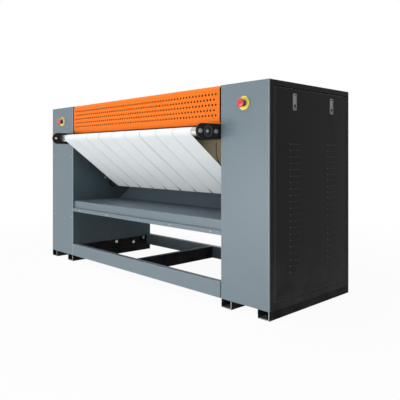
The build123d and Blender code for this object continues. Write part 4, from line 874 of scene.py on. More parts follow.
class Course:
    """An outline carried along runs and bends in the YZ plane, like folded sheet or a belt."""

    def __init__(
        self, form: Form, edges: Edges, start: tuple[float, float], heading: float
    ) -> None:
        """Start at a place.

        Args:
            form: The form that takes the sheet or belt.
            edges: The outline.
            start: The place, as (y, z).
            heading: The first direction, in degrees from +Y towards +Z.
        """
        self.form = form
        self.edges = edges
        self.y, self.z = start
        self.heading = heading
        self.length = 0.0

    def _carry(self, made: Corners | Edges, length: float) -> None:
        """Take the new outline, and note the length that it has reached.

        Args:
            made: The new edges and corners.
            length: How far they were carried.
        """
        self.edges = [item for item in made if isinstance(item, bmesh.types.BMEdge)]
        self.length += length
        for item in made:
            if isinstance(item, bmesh.types.BMVert):
                item[self.form.along] = self.length

    def run(self, length: float, cuts: int = 1) -> "Course":
        """Carry the outline straight on, in a number of lengths.

        Args:
            length: How far.
            cuts: The number of lengths.

        Returns:
            The course.
        """
        step = length / cuts
        angle = math.radians(self.heading)
        shift = Vector((0.0, math.cos(angle) * step, math.sin(angle) * step))
        for _ in range(cuts):
            made = bmesh.ops.extrude_edge_only(self.form.mesh, edges=self.edges)["geom"]
            verts = [item for item in made if isinstance(item, bmesh.types.BMVert)]
            bmesh.ops.translate(self.form.mesh, verts=verts, vec=shift)
            self.y += shift.y
            self.z += shift.z
            self._carry(made, step)
        return self

    def bend(self, radius: float, degrees: float, steps: int = 5) -> "Course":
        """Carry the outline round a bend, up and back for positive degrees.

        Args:
            radius: Bend radius.
            degrees: How far it turns.
            steps: Faces round the bend.

        Returns:
            The course.
        """
        turn = math.radians(degrees) / steps
        reach = math.copysign(radius, degrees)
        for _ in range(steps):
            angle = math.radians(self.heading)
            centre = (self.y - math.sin(angle) * reach, self.z + math.cos(angle) * reach)
            verts = list({vert for edge in self.edges for vert in edge.verts})
            made = bmesh.ops.spin(
                self.form.mesh,
                geom=verts + self.edges,
                cent=(0.0, *centre),
                axis=ALONG_X,
                angle=turn,
                steps=1,
            )["geom_last"]
            angle += turn
            self.heading = math.degrees(angle)
            self.y = centre[0] + math.sin(angle) * reach
            self.z = centre[1] - math.cos(angle) * reach
            self._carry(made, abs(turn) * radius)
        return self


def middle(node: str) -> Vector:
    """The middle of a node's box."""
    low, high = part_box(node)
    return (low + high) / 2


def axis_point(node: str) -> Vector:
    """Where the axis of a roller's node crosses the YZ plane."""
    place = middle(node)
    return Vector((place.y, place.z))


def solids(node: str) -> list[tuple[Vector, Vector]]:
    """Lowest and highest corner of each separate solid of a node.

    Args:
        node: The node.

    Returns:
        The pairs of corners, in order along X.
    """
    form = Form(node)
    left = set(form.mesh.verts)
    boxes = []
    while left:
        grown = [left.pop()]
        for vert in grown:
            fresh = {edge.other_vert(vert) for edge in vert.link_edges} & left
            left -= fresh
            grown.extend(fresh)
        low = Vector(min(vert.co[axis] for vert in grown) for axis in range(3))
        high = Vector(max(vert.co[axis] for vert in grown) for axis in range(3))
        boxes.append((low, high))
    form.mesh.free()
    return sorted(boxes, key=lambda box: tuple(box[0]))


# ---------------------------------------------------------------- studio
@dataclass(frozen=True)
class Lamp:
    """A large rectangular lamp that faces a target."""

    name: str
    power: float
    place: Point
    target: Point
    size: tuple[float, float]

    def hang(self) -> None:
        """Put the lamp into the scene."""
        data = bpy.data.lights.new(self.name, "AREA")
        data.shape = "RECTANGLE"
        data.size, data.size_y = self.size
        data.energy = self.power
        lamp = stand(self.name, data)
        lamp.location = self.place
        aim = Vector(self.target) - Vector(self.place)
        lamp.rotation_euler = aim.to_track_quat("-Z", "Y").to_euler()


@dataclass
class Studio:
    """Camera, floor, background and soft lamps."""

    camera_place: Point = (3.197, -2.666, 0.990)
    camera_turn: float = 46.41
    lens: float = 44.24
    sensor: float = 36.0
    shift: float = -0.111
    ambient: float = 0.25
    floor_radius: float = 14.0
    floor_drop: float = 0.5 * MM
    floor_glow: float = 0.95
    floor_fade: tuple[float, float] = (1.6, 4.5)
    lamps: tuple[Lamp, ...] = (
        Lamp("key_lamp", 104.0, (-0.6, -5.2, 0.5), (0.0, 0.0, 0.75), (5.0, 0.9)),
        Lamp("low_lamp", 17.0, (-0.2, -2.7, 0.12), (0.0, -0.1, 0.95), (3.2, 0.5)),
        Lamp("fill_lamp", 32.0, (3.5, -3.2, 1.1), (0.0, 0.0, 0.85), (1.4, 1.4)),
        Lamp("top_lamp", 78.0, (0.0, -1.1, 4.4), (0.0, -0.5, 1.1), (3.0, 0.6)),
        Lamp("rear_lamp", 90.0, (-2.2, 5.2, 1.4), (0.0, 0.0, 0.75), (4.0, 3.0)),
    )

    def build(self) -> None:
        """Set up the whole studio."""
        self._camera()
        self._world()
        self._floor()
        for lamp in self.lamps:
            lamp.hang()
        bpy.context.scene.view_settings.view_transform = "Standard"

    def _camera(self) -> None:
        """Place the camera where the photograph was taken from."""
        data = bpy.data.cameras.new("camera")
        data.lens = self.lens
        data.sensor_width = self.sensor
        data.shift_y = self.shift
        camera = stand("camera", data)
        camera.location = self.camera_place
        camera.rotation_euler = (math.pi / 2, 0.0, math.radians(self.camera_turn))
        bpy.context.scene.camera = camera

    def _seen(self, graph: Graph) -> Wire:
        """1 for rays that show the background: from the camera, mirrors and glass."""
        seen = graph.node("ShaderNodeLightPath", output="Is Camera Ray")
        others = (seen.other("Is Glossy Ray"), seen.other("Is Transmission Ray"))
        for other in others:
            seen = seen.maths("MAXIMUM", seen, other)
        return seen

    def _world(self) -> None:
        """White where the background shows, and a soft ambient light on the object."""
        world = bpy.data.worlds.new("studio_world")
        bpy.context.scene.world = world
        graph = Graph(world)
        soft = graph.tree.nodes["Background"]
        graph.feed(soft.inputs["Color"], WHITE)
        graph.feed(soft.inputs["Strength"], self.ambient)
        white = graph.node("ShaderNodeBackground", inputs={"Color": WHITE, "Strength": 1.0})
        graph.show_either(self._seen(graph), Wire(graph, soft.outputs[0]), white)

    def _floor(self) -> None:
        """A pale floor that keeps the shadow near the machine and fades into white."""
        shape = bmesh.new()
        bmesh.ops.create_circle(shape, cap_ends=True, segments=96, radius=self.floor_radius)
        data = bpy.data.meshes.new("studio_floor")
        shape.to_mesh(data)
        shape.free()
        material = bpy.data.materials.new("studio_floor")
        graph = Graph(material)
        lit = graph.surface(Base_Color=(0.8, 0.8, 0.8), Roughness=0.9, Specular_IOR_Level=0.0)
        x, y, _ = graph.axes(graph.place())
        far = ((x * x + y * y) ** 0.5).between(*self.floor_fade)
        share = self._seen(graph) * (far * (1 - self.floor_glow) + self.floor_glow)
        graph.show_either(share, lit, graph.node("ShaderNodeEmission"))
        data.materials.append(material)
        floor = stand("studio_floor", data)
        floor.location = (0.0, 0.0, CAD_BOX[0].z - self.floor_drop)


# ---------------------------------------------------------------- sensor lead
@dataclass
class SensorLead:
    """The dark lead from the heat shield's sensor, which hangs and goes through the wall."""

    diameter: float = 5 * MM
    length: float = 0.4
    y: float = -150.3 * MM
    route: tuple[tuple[float, float], ...] = (
        (0.722, 1.0827),
        (0.722, 1.008),
        (0.735, 0.966),
        (0.765, 0.918),
        (0.812, 0.893),
        (0.872, 0.897),
        (0.930, 0.905),
        (0.986, 0.905),
    )

    def build(self) -> None:
        """Lay the lead on its route."""
        data = bpy.data.curves.new("sensor_lead", "CURVE")
        data.dimensions = "3D"
        data.bevel_depth = self.diameter / 2
        data.bevel_resolution = 4
        data.use_fill_caps = True
        spline = data.splines.new("NURBS")
        spline.points.add(len(self.route) - 1)
        for point, (x, z) in zip(spline.points, self.route):
            point.co = (x, self.y, z, 1.0)
        spline.order_u = 3
        spline.use_endpoint_u = True
        spline.resolution_u = 12
        lead = stand("sensor_lead", data)
        enrol(lead, CABLE, "root", ["sensor_cable"])
        x, z = self.route[0]
        LOG.info("sensor_lead: %d points", len(self.route))


# ---------------------------------------------------------------- cabinets and base
@dataclass
class Sheetwork:
    """Flat sheet and tube parts: each keeps its node's shape and gets rounded edges, lightened for
    wear and as a painted highlight.
    """

    rounding: float = 0.8 * MM
    tube_rounding: float = 2.5 * MM
    shells: tuple[str, ...] = (
        "front_cover", "cabinet_rear_cover", "cabinet_top_cover", "side_frame", "inner_wall"
    )
    panels: tuple[str, ...] = (
        "rear_cover", "top_cover", "return_chute", "cabinet_floors", "tray", "heat_shield",
        "control_box",
    )
    tubes: tuple[str, ...] = (
        "front_beam", "rear_beam", "centre_beam", "base_side_rails", "feed_bracket_left",
        "feed_bracket_right",
    )
    # These parts take the near-black paint that stands in for the shade under the machine.
    underframe: tuple[str, ...] = ("centre_beam", "base_side_rails")

    def build(self) -> None:
        """Round and dress each part."""
        for side in Side:
            for shell in self.shells:
                self._edge(f"{shell}_{side.tag}", self.rounding)
            rails = f"foot_rails_{side.tag}"
            form = Form(rails).soften(self.tube_rounding).mark_folds().mark_sawn()
            form.show(f"{rails}_made", SHADED_UNDERFRAME, replaces=[rails], closed=False)
        for panel in self.panels:
            self._edge(panel, self.rounding)
        for tube in self.tubes:
            self._edge(tube, self.tube_rounding)

    def _edge(self, node: str, rounding: float) -> None:
        """Show a node's shape with rounded edges."""
        form = Form(node).soften(rounding).mark_folds()
        finish = SHADED_UNDERFRAME if node in self.underframe else finish_of(node)
        form.show(f"{node}_made", finish, replaces=[node], closed=False)


@dataclass
class SidePanels:
    """Removable side panels: turned-in edges and pressed louvres that open downwards."""

    outside: float = 1363 * MM
    turn_in: float = 15 * MM
    front: float = -299.5 * MM
    back: float = 525.5 * MM
    bottom: float = 93.3 * MM
    top: float = 1413 * MM
    fold: float = 7 * MM
    fold_steps: int = 4
    sheet: float = 1.6 * MM
    louvre_ys: tuple[float, float] = (-94.5 * MM, 331.5 * MM)
    louvre: tuple[float, float] = (108 * MM, 10 * MM)
    louvre_cuts: tuple[int, int] = (16, 4)
    louvre_proud: float = 5.9 * MM
    louvre_end: float = 6 * MM
    louvre_pitch: float = 40 * MM
    louvre_rows: int = 21
    first_louvre: float = 262 * MM
    level: float = 0.001 * MM
    end_shine: float = 0.12
    foot_shine: float = 0.4
    latch_ys: tuple[float, float] = (-95.5 * MM, 333.5 * MM)
    latch_z: float = 1328 * MM
    latch_cut: tuple[float, float] = (32 * MM, 98 * MM)
    tongue_x: tuple[float, float] = (1356.7 * MM, 1360.7 * MM)
    tongue: tuple[float, float] = (40 * MM, 14 * MM)
    tongue_foot: float = 81.3 * MM
    tongue_rounding: float = 0.8 * MM
    tongue_shares: tuple[float, float] = (1 / 6, 5 / 6)

    def build(self) -> None:
        """Press both panels."""
        for side in Side:
            form = self._panel()
            if side is Side.LEFT:
                form.turned_over()
            name = f"louvred_panel_{side.tag}"
            form.show(name, FRAME, f"panel_{side.tag}", [f"side_panel_{side.tag}"])

    def _panel(self) -> Form:
        """The right-hand panel.

        Returns:
            The panel.
        """
        form = self._blank()
        patches = [
            self._grid(form, y, self.first_louvre + row * self.louvre_pitch, self.louvre,
                       self.louvre_cuts)
            for y in self.louvre_ys
            for row in range(self.louvre_rows)
        ]
        outlines = [edge for faces in patches for edge in self._border(faces)]
        for y in self.latch_ys:
            opening = self._grid(form, y, self.latch_z, self.latch_cut, (1, 1))
            outlines += self._border(opening)
            bmesh.ops.delete(form.mesh, geom=opening, context="FACES_ONLY")
        form.pierce(ALONG_X, self.outside, outlines)
        for faces in patches:
            self._press(form, faces)
        form.thicken(self.sheet, ALONG_X * 10)
        width, height = self.tongue
        for share in self.tongue_shares:
            y = self.front + share * (self.back - self.front)
            form.slab(
                (self.tongue_x[0], y - width / 2, self.tongue_foot),
                (self.tongue_x[1], y + width / 2, self.tongue_foot + height),
                self.tongue_rounding,
            )
        return form

    def _blank(self) -> Form:
        """The bare panel: an open tray with a rounded rim, still without thickness.

        Returns:
            The panel.
        """
        form = Form()
        corner = (self.outside - self.turn_in, self.front, self.bottom)
        form.slab(corner, (self.outside, self.back, self.top))
        rim = [
            edge
            for edge in form.mesh.edges
            if all(vert.co.x > self.outside - MM for vert in edge.verts)
        ]
        form.round_edges(rim, self.fold, self.fold_steps)
        inner = [face for face in form.mesh.faces if face.normal.x < -0.99]
        bmesh.ops.delete(form.mesh, geom=inner, context="FACES_ONLY")
        return form

    def _grid(
        self, form: Form, y: float, z: float, size: tuple[float, float], cuts: tuple[int, int]
    ) -> Faces:
        """Lay a grid of faces on the panel.

        Args:
            form: The panel.
            y: Middle of the grid.
            z: Middle of the grid.
            size: Its width along Y and its height.
            cuts: Faces along each.

        Returns:
            The faces.
        """
        width, height = size
        place = Matrix(((0, 0, 1, self.outside), (width, 0, 0, y), (0, height, 0, z), (0, 0, 0, 1)))
        verts = bmesh.ops.create_grid(
            form.mesh, x_segments=cuts[0], y_segments=cuts[1], size=0.5, matrix=place
        )["verts"]
        return list({face for vert in verts for face in vert.link_faces})

    def _border(self, faces: Faces) -> Edges:
        """Edges that only one of some faces touches."""
        inside = set(faces)
        edges = {edge for face in faces for edge in face.edges}
        return [edge for edge in edges if len(inside & set(edge.link_faces)) == 1]

    def _press(self, form: Form, faces: Faces) -> None:
        """Cut a louvre's foot free, press its faces outwards and mark where they shine.

        Args:
            form: The panel.
            faces: The louvre's faces, still flat.
        """
        verts = {vert for face in faces for vert in face.verts}
        foot = min(vert.co.z for vert in verts)
        head = max(vert.co.z for vert in verts)
        ends = (min(vert.co.y for vert in verts), max(vert.co.y for vert in verts))
        edges = {edge for face in faces for edge in face.edges}
        lip = [
            edge for edge in edges if all(abs(vert.co.z - foot) < self.level for vert in edge.verts)
        ]
        bmesh.ops.split_edges(form.mesh, edges=lip)
        pressed = set(faces)
        for vert in {vert for face in faces for vert in face.verts}:
            if not set(vert.link_faces) <= pressed:
                continue
            drop = (head - vert.co.z) / (head - foot)
            near = min(vert.co.y - ends[0], ends[1] - vert.co.y) / self.louvre_end
            rise = math.sin(drop * math.pi / 2) * math.sin(min(1.0, near) * math.pi / 2)
            vert.co.x += self.louvre_proud * rise
        # Painted highlights: the louvre's front end is laid toward bare steel, its lower half
        # lightened through the edge mark.
        for face in faces:
            place = face.calc_center_median()
            if place.y < ends[0] + self.louvre_end:
                face[form.sawn] = self.end_shine
            elif place.z < (foot + head) / 2:
                face[form.edge] = self.foot_shine


@dataclass
class PaddleLatches:
    """Flush paddle latches: plated frames, spring paddles, and black slabs as painted shade in the
    key slots.
    """

    rounding: float = 0.7 * MM
    shortest: float = 6 * MM
    slot: tuple[float, float] = (1.8 * MM, 9 * MM)
    slot_depths: tuple[float, float] = (-0.5 * MM, 0.2 * MM)
    lock_face: float = 1364 * MM
    lock_z: float = 1290.5 * MM
    latch_ys: tuple[float, float] = (-95.5 * MM, 333.5 * MM)

    def build(self) -> None:
        """Dress the latches of both panels."""
        for side in Side:
            tag = side.tag
            self._plate(f"latch_housings_{tag}", f"latch_frames_{tag}", f"panel_{tag}")
            for position in ("front", "rear"):
                spot = f"{position}_{tag}"
                self._plate(f"latch_lever_{spot}", f"latch_paddle_{spot}", f"lever_{spot}")
            self._slots(side).show(f"latch_key_slots_{tag}", BLACK, f"panel_{tag}")

    def _plate(self, node: str, name: str, body: str) -> None:
        """Show a node's shape plated, with rounded edges."""
        form = Form(node).soften(self.rounding, self.shortest)
        form.show(name, CHROME, body, [node], closed=False)

    def _slots(self, side: Side) -> Form:
        """Black slabs on the faces of one side's locks, standing as painted shade in the key slots.

        Args:
            side: The side.

        Returns:
            The slots.
        """
        form = Form()
        across, down = (size / 2 for size in self.slot)
        xs = sorted(side.value * (self.lock_face + depth) for depth in self.slot_depths)
        for y in self.latch_ys:
            low = (xs[0], y - across, self.lock_z - down)
            form.slab(low, (xs[1], y + across, self.lock_z + down))
        return form


# ---------------------------------------------------------------- emergency stops
@dataclass
class EmergencyStops:
    """Twist-release mushroom buttons on yellow guard rings."""

    height: float = 1318 * MM
    reach: float = 1164 * MM
    face: float = -352.5 * MM
    ring: Profile = (
        (0.0, 22.0), (0.0, 43.6), (0.6, 44.0), (3.2, 44.0), (4.0, 43.2), (4.0, 40.6),
        (3.2, 39.4), (2.2, 38.6), (2.0, 26.0), (2.6, 24.6), (2.6, 22.0),
    )
    collar: Profile = (
        (-2.0, 8.1), (-2.0, 11.0), (0.0, 11.0), (0.0, 22.4), (9.0, 22.4), (10.4, 21.6),
        (11.0, 20.6), (15.0, 19.6), (15.0, 17.0), (13.6, 15.6), (13.6, 8.1),
    )
    stem: Profile = (
        (-37.0, 0.0), (-37.0, 7.2), (-36.2, 8.0), (21.0, 8.0), (21.0, 5.0), (31.0, 5.0),
        (32.0, 4.0), (32.0, 0.0),
    )
    head: Profile = (
        (21.0, 5.1), (21.0, 17.2), (21.8, 18.4), (30.0, 28.4), (31.4, 29.4), (34.6, 29.5),
        (37.6, 28.4), (40.2, 25.4), (41.8, 21.0), (42.6, 15.5), (42.9, 9.0), (42.5, 6.4),
        (41.4, 5.6), (41.2, 3.0), (41.2, 0.0), (33.0, 0.0), (33.0, 5.1),
    )
    dot: Profile = ((41.2, 0.0), (41.2, 2.6), (41.7, 2.4), (41.9, 0.0))
    block: tuple[Point, Point] = ((-21.0, 2.0, -21.0), (21.0, 46.0, 21.0))
    block_rounding: float = 1.5 * MM
    flutes: int = 12
    flute_depth: float = 0.9 * MM
    fluted_radius: float = 27 * MM

    def build(self) -> None:
        """Turn both buttons."""
        for side in Side:
            tag = side.tag
            centre = Vector((side.value * self.reach, self.face, self.height))
            plunger = f"stop_plunger_{tag}"
            knob = f"stop_knob_{tag}"
            ring = self._turn(self.ring, centre, True)
            ring.show(f"stop_ring_{tag}", YELLOW, replaces=[f"stop_base_{tag}"])
            collar = self._turn(self.collar, centre, True)
            low, high = (centre + Vector(corner) * MM for corner in self.block)
            collar.slab(low, high, self.block_rounding)
            collar.show(f"stop_collar_{tag}", STEM)
            stem = self._turn(self.stem, centre, False)
            stem.show(f"stop_shaft_{tag}", STEM, plunger, [f"stop_stem_{tag}"])
            head = self._flute(self._turn(self.head, centre, True, 96), centre)
            head.show(f"stop_mushroom_{tag}", RED, knob, [f"stop_head_{tag}"])
            self._turn(self.dot, centre, False).show(f"stop_mark_{tag}", STEM, knob)

    def _turn(self, profile: Profile, centre: Vector, closed: bool, steps: int = 64) -> Form:
        """Turn a profile given in millimetres in front of the cabinet's face."""
        return Form().lathe(metres(profile), centre, -ALONG_Y, steps, closed)

    def _flute(self, form: Form, centre: Vector) -> Form:
        """Press finger flutes into the widest part of the head.

        Args:
            form: The turned head.
            centre: The middle of the button's seat.

        Returns:
            The head.
        """
        for vert in form.mesh.verts:
            arm = Vector((vert.co.x - centre.x, 0.0, vert.co.z - centre.z))
            if arm.length >= self.fluted_radius:
                turn = math.atan2(arm.z, arm.x) * self.flutes
                vert.co -= arm.normalized() * self.flute_depth * max(0.0, math.cos(turn)) ** 2
        return form


# ---------------------------------------------------------------- hood and finger guard
@dataclass
class FrontHood:
    """Orange front hood: one folded sheet with five staggered rows of real holes."""

    rear: float = -287.5 * MM
    face: float = -347.5 * MM
    bevel: tuple[float, float] = (10 * MM, 19 * MM)
    top: float = 1450 * MM
    bottom: float = 1199 * MM
    lower_return: float = 20 * MM
    half: float = 948 * MM
    wall: float = 965 * MM
    fold: float = 4 * MM
    sheet: float = 2 * MM
    hole: float = 7.7 * MM
    pitch: float = 32 * MM
    row_pitch: float = 35 * MM
    first_row: float = 53 * MM
    rows: int = 5
    columns: int = 58
    hole_sides: int = 20
    lug: Point = (18 * MM, 36 * MM, 9 * MM)
    lug_rounding: float = 0.5 * MM
    outside: Point = (0.0, -10.0, 6.0)

    def build(self) -> None:
        """Fold, pierce and show the hood."""
        form = Form()
        shoulder = self.face + self.bevel[0]
        form.folded(
            (
                (self.rear, self.top),
                (shoulder, self.top),
                (self.face, self.top - self.bevel[1]),
                (self.face, self.bottom + self.bevel[1]),
                (shoulder, self.bottom),
                (shoulder + self.lower_return, self.bottom),
            ),
            (-self.half, self.half),
            self.fold,
        )
        form.pierce(ALONG_Y, self.face, self._holes(form))
        form.thicken(self.sheet, Vector(self.outside))
        low_z = self.top - self.sheet - self.lug[2]
        for side in Side:
            xs = sorted((side.value * (self.half - self.lug[0]), side.value * self.wall))
            form.slab(
                (xs[0], self.rear - self.lug[1], low_z),
                (xs[1], self.rear - self.sheet, self.top - self.sheet),
                self.lug_rounding,
            )
        form.show("pierced_hood", HOOD, replaces=["front_hood"])

    def _holes(self, form: Form) -> Edges:
        """Outlines of the holes, every other row moved half a pitch.

        Args:
            form: The folded hood.

        Returns:
            The edges of the outlines.
        """
        outlines = []
        for row in range(self.rows):
            z = self.top - self.first_row - row * self.row_pitch
            columns = self.columns - row % 2
            for column in range(columns):
                x = (column - (columns - 1) / 2) * self.pitch
                place = Matrix(((1, 0, 0, x), (0, 0, 1, self.face), (0, 1, 0, z), (0, 0, 0, 1)))
                verts = bmesh.ops.create_circle(
                    form.mesh, segments=self.hole_sides, radius=self.hole, matrix=place
                )["verts"]
                outlines += list({edge for vert in verts for edge in vert.link_edges})
        return outlines


@dataclass
class FingerGuard:
    """Black finger flap that hangs on pins behind the hood's lower edge."""

    rounding: float = 1.0 * MM

    def build(self) -> None:
        """Round and show the flap."""
        form = Form("finger_guard").soften(self.rounding)
        form.show("finger_flap", BLACK, "guard", ["finger_guard"], closed=False)


# ---------------------------------------------------------------- endless belts
@dataclass(frozen=True)
class Leg:
    """Part of a belt's way: a straight run, then a bend round a roller."""

    run: float
    cuts: int
    radius: float
    turn: float
    steps: int


def show_belt(form: Form, name: str, finish: Finish, node: str, **sheet: object) -> None:
    """Args:
        form: The belt, carried round its rollers.
        name: The piece's name.
        finish: Its finish.
        node: The node that it stands for.
        **sheet: Its flat size and what it rests on; not used.
    """
    form.show(name, finish, replaces=[node])


@dataclass
class EndlessBelt:
    """The cut section of an endless belt, carried once round its rollers."""

    middle_x: float
    width: float
    thickness: float
    hem: float
    seam: float = 0.05 * MM
    edge_slack: float = 0.01 * MM

    def carry(self, form: Form, start: Vector, heading: float, legs: Sequence[Leg]) -> float:
        """Run the belt and close it.

        Args:
            form: The form that takes the belt.
            start: Where its middle line starts, as (y, z).
            heading: Its first direction, in degrees from +Y towards +Z.
            legs: Its way, which ends where it started.

        Returns:
            The length of the belt along its middle line.
        """
        course = Course(form, self._section(form, start, heading), tuple(start), heading)
        for leg in legs:
            if leg.cuts:
                course.run(leg.run, leg.cuts)
            course.bend(leg.radius, leg.turn, leg.steps)
        half = self.width / 2 - self.edge_slack
        bmesh.ops.remove_doubles(form.mesh, verts=form.mesh.verts, dist=self.seam)
        for vert in form.mesh.verts:
            vert[form.selvedge] = float(abs(vert.co.x - self.middle_x) > half)
        form.unrolled = True
        return course.length

    def _section(self, form: Form, start: Vector, heading: float) -> Edges:
        """The section at the start, with lines where the hems begin.

        Args:
            form: The form that takes the belt.
            start: Its middle, as (y, z).
            heading: The belt's first direction, in degrees.

        Returns:
            The section's edges.
        """
        half = self.width / 2
        turn = math.radians(heading)
        out = Vector((0.0, -math.sin(turn), math.cos(turn))) * self.thickness / 2
        xs = (-half, -half + self.hem, -half / 3, half / 3, half - self.hem, half)
        base = Vector((self.middle_x, *start))
        ring = [form.mesh.verts.new(base + ALONG_X * x + out) for x in xs]
        ring += [form.mesh.verts.new(base + ALONG_X * x - out) for x in reversed(xs)]
        return [form.mesh.edges.new(pair) for pair in zip(ring, ring[1:] + ring[:1])]


# ---------------------------------------------------------------- feed table
@dataclass
class Ribbons:
    """Nine endless ribbons that carry the linen round the three feed rollers."""

    count: int = 9
    width: float = 183 * MM
    pitch: float = 187 * MM
    thickness: float = 2 * MM
    clearance: float = 0.3 * MM
    rollers: tuple[str, ...] = ("transfer_roller", "front_feed_roller", "lower_feed_roller")
    cuts: int = 20
    steps: int = 12
    hem: float = 5 * MM
    wander: float = 1.1 * MM
    waves: tuple[Point, ...] = ((1.0, 1.0, 1.9), (0.4, 3.0, 0.7))
    neck: float = 0.09
    offset: float = -9 * MM
    neck_reach: float = 26 * MM
    lowest: float = 693 * MM

    def build(self) -> None:
        """Weave and run every ribbon."""
        for number in range(self.count):
            middle_x = (number - (self.count - 1) / 2) * self.pitch + self.offset
            form = Form()
            flat = (self.width, self._loop(form, middle_x, number))
            name = f"feed_ribbon_{number + 1}"
            show_belt(form, name, RIBBON, "feed_ribbons", flat=flat, rests_on=list(self.rollers))

    def _loop(self, form: Form, middle_x: float, number: int) -> float:
        """Carry a ribbon's section round the rollers.

        Args:
            form: The form that takes the ribbon.
            middle_x: The ribbon's middle along X.
            number: The ribbon's number, from 0.

        Returns:
            The length of the loop.
        """
        axes = [axis_point(roller) for roller in self.rollers]
        low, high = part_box(self.rollers[0])
        radius = (high.z - low.z) / 2 + self.clearance + self.thickness / 2
        ways = list(zip(axes, axes[1:] + axes[:1]))
        headings = [heading(*way) for way in ways]
        turns = [(after - before) % 360 for before, after in zip(headings, headings[1:] + headings)]
        first = axes[1] - axes[0]
        start = axes[0] + Vector((first.y, -first.x)).normalized() * radius
        belt = EndlessBelt(middle_x, self.width, self.thickness, self.hem)
        legs = [
            Leg((end - begin).length, self.cuts, radius, turn, self.steps)
            for (begin, end), turn in zip(ways, turns)
        ]
        length = belt.carry(form, start, headings[0], legs)
        self._settle(form, middle_x, length, number)
        return length

    def _settle(self, form: Form, middle_x: float, length: float, number: int) -> None:
        """Let the loop wander a little sideways and narrow near the lower roller, each ribbon its
        own way.

        Args:
            form: The ribbon.
            middle_x: Its middle along X.
            length: The loop's length.
            number: Its number, from 0.
        """
        for vert in form.mesh.verts:
            phase = vert[form.along] / length * 2 * math.pi
            neck = math.exp(-(((vert.co.z - self.lowest) / self.neck_reach) ** 2))
            vert.co.x -= (vert.co.x - middle_x) * self.neck * neck
            for share, turns, lag in self.waves:
                vert.co.x += self.wander * share * math.sin(turns * phase + number * lag)


@dataclass
class Rollers:
    """Turned steel rollers with chamfered ends, centre bores and reduced journals."""

    journal_lengths: tuple[tuple[str, float], ...] = (
        ("front_feed_roller", 14 * MM), ("lower_feed_roller", 25 * MM),
        ("transfer_roller", 42 * MM), ("entry_roller", 42 * MM), ("exit_roller", 42 * MM),
        ("rear_upper_roller", 42 * MM), ("rear_lower_roller", 42 * MM),
    )
    # Black rubber lagging on the lower feed roller, dark also as painted shade seen through the
    # ribbon gaps.
    lagged: str = "lower_feed_roller"
    journal: float = 10 * MM
    chamfer: float = 1.5 * MM

    def build(self) -> None:
        """Turn every roller to its node's size."""
        for name, journal_length in self.journal_lengths:
            low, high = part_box(name)
            profile = self._half_profile(high.x - journal_length, high.x, (high.z - low.z) / 2)
            form = Form().lathe(both_ends(profile), middle(name), ALONG_X)
            finish = DRIVE if name == self.lagged else ROLLER
            form.show(f"{name}_turned", finish, name, [name])

    def _half_profile(self, body: float, half: float, radius: float) -> list[tuple[float, float]]:
        """Outline of the right half, from the middle to the journal's centre bore.

        Args:
            body: Half the length of the roller's body.
            half: Half its whole length.
            radius: The body's radius.

        Returns:
            Pairs of a distance along the axis and a radius.
        """
        chamfer, journal = self.chamfer, self.journal
        return [
            (0.0, radius), (body - 30 * MM, radius), (body - chamfer, radius),
            (body, radius - chamfer), (body, radius - 5 * MM), (body - 2 * MM, radius - 6.5 * MM),
            (body - 2 * MM, journal + 4 * MM), (body, journal + 2 * MM), (body, journal),
            (half - 1 * MM, journal), (half, journal - 1 * MM), (half, 3.2 * MM),
            (half - 4 * MM, 1 * MM), (half - 4 * MM, 0.0),
        ]


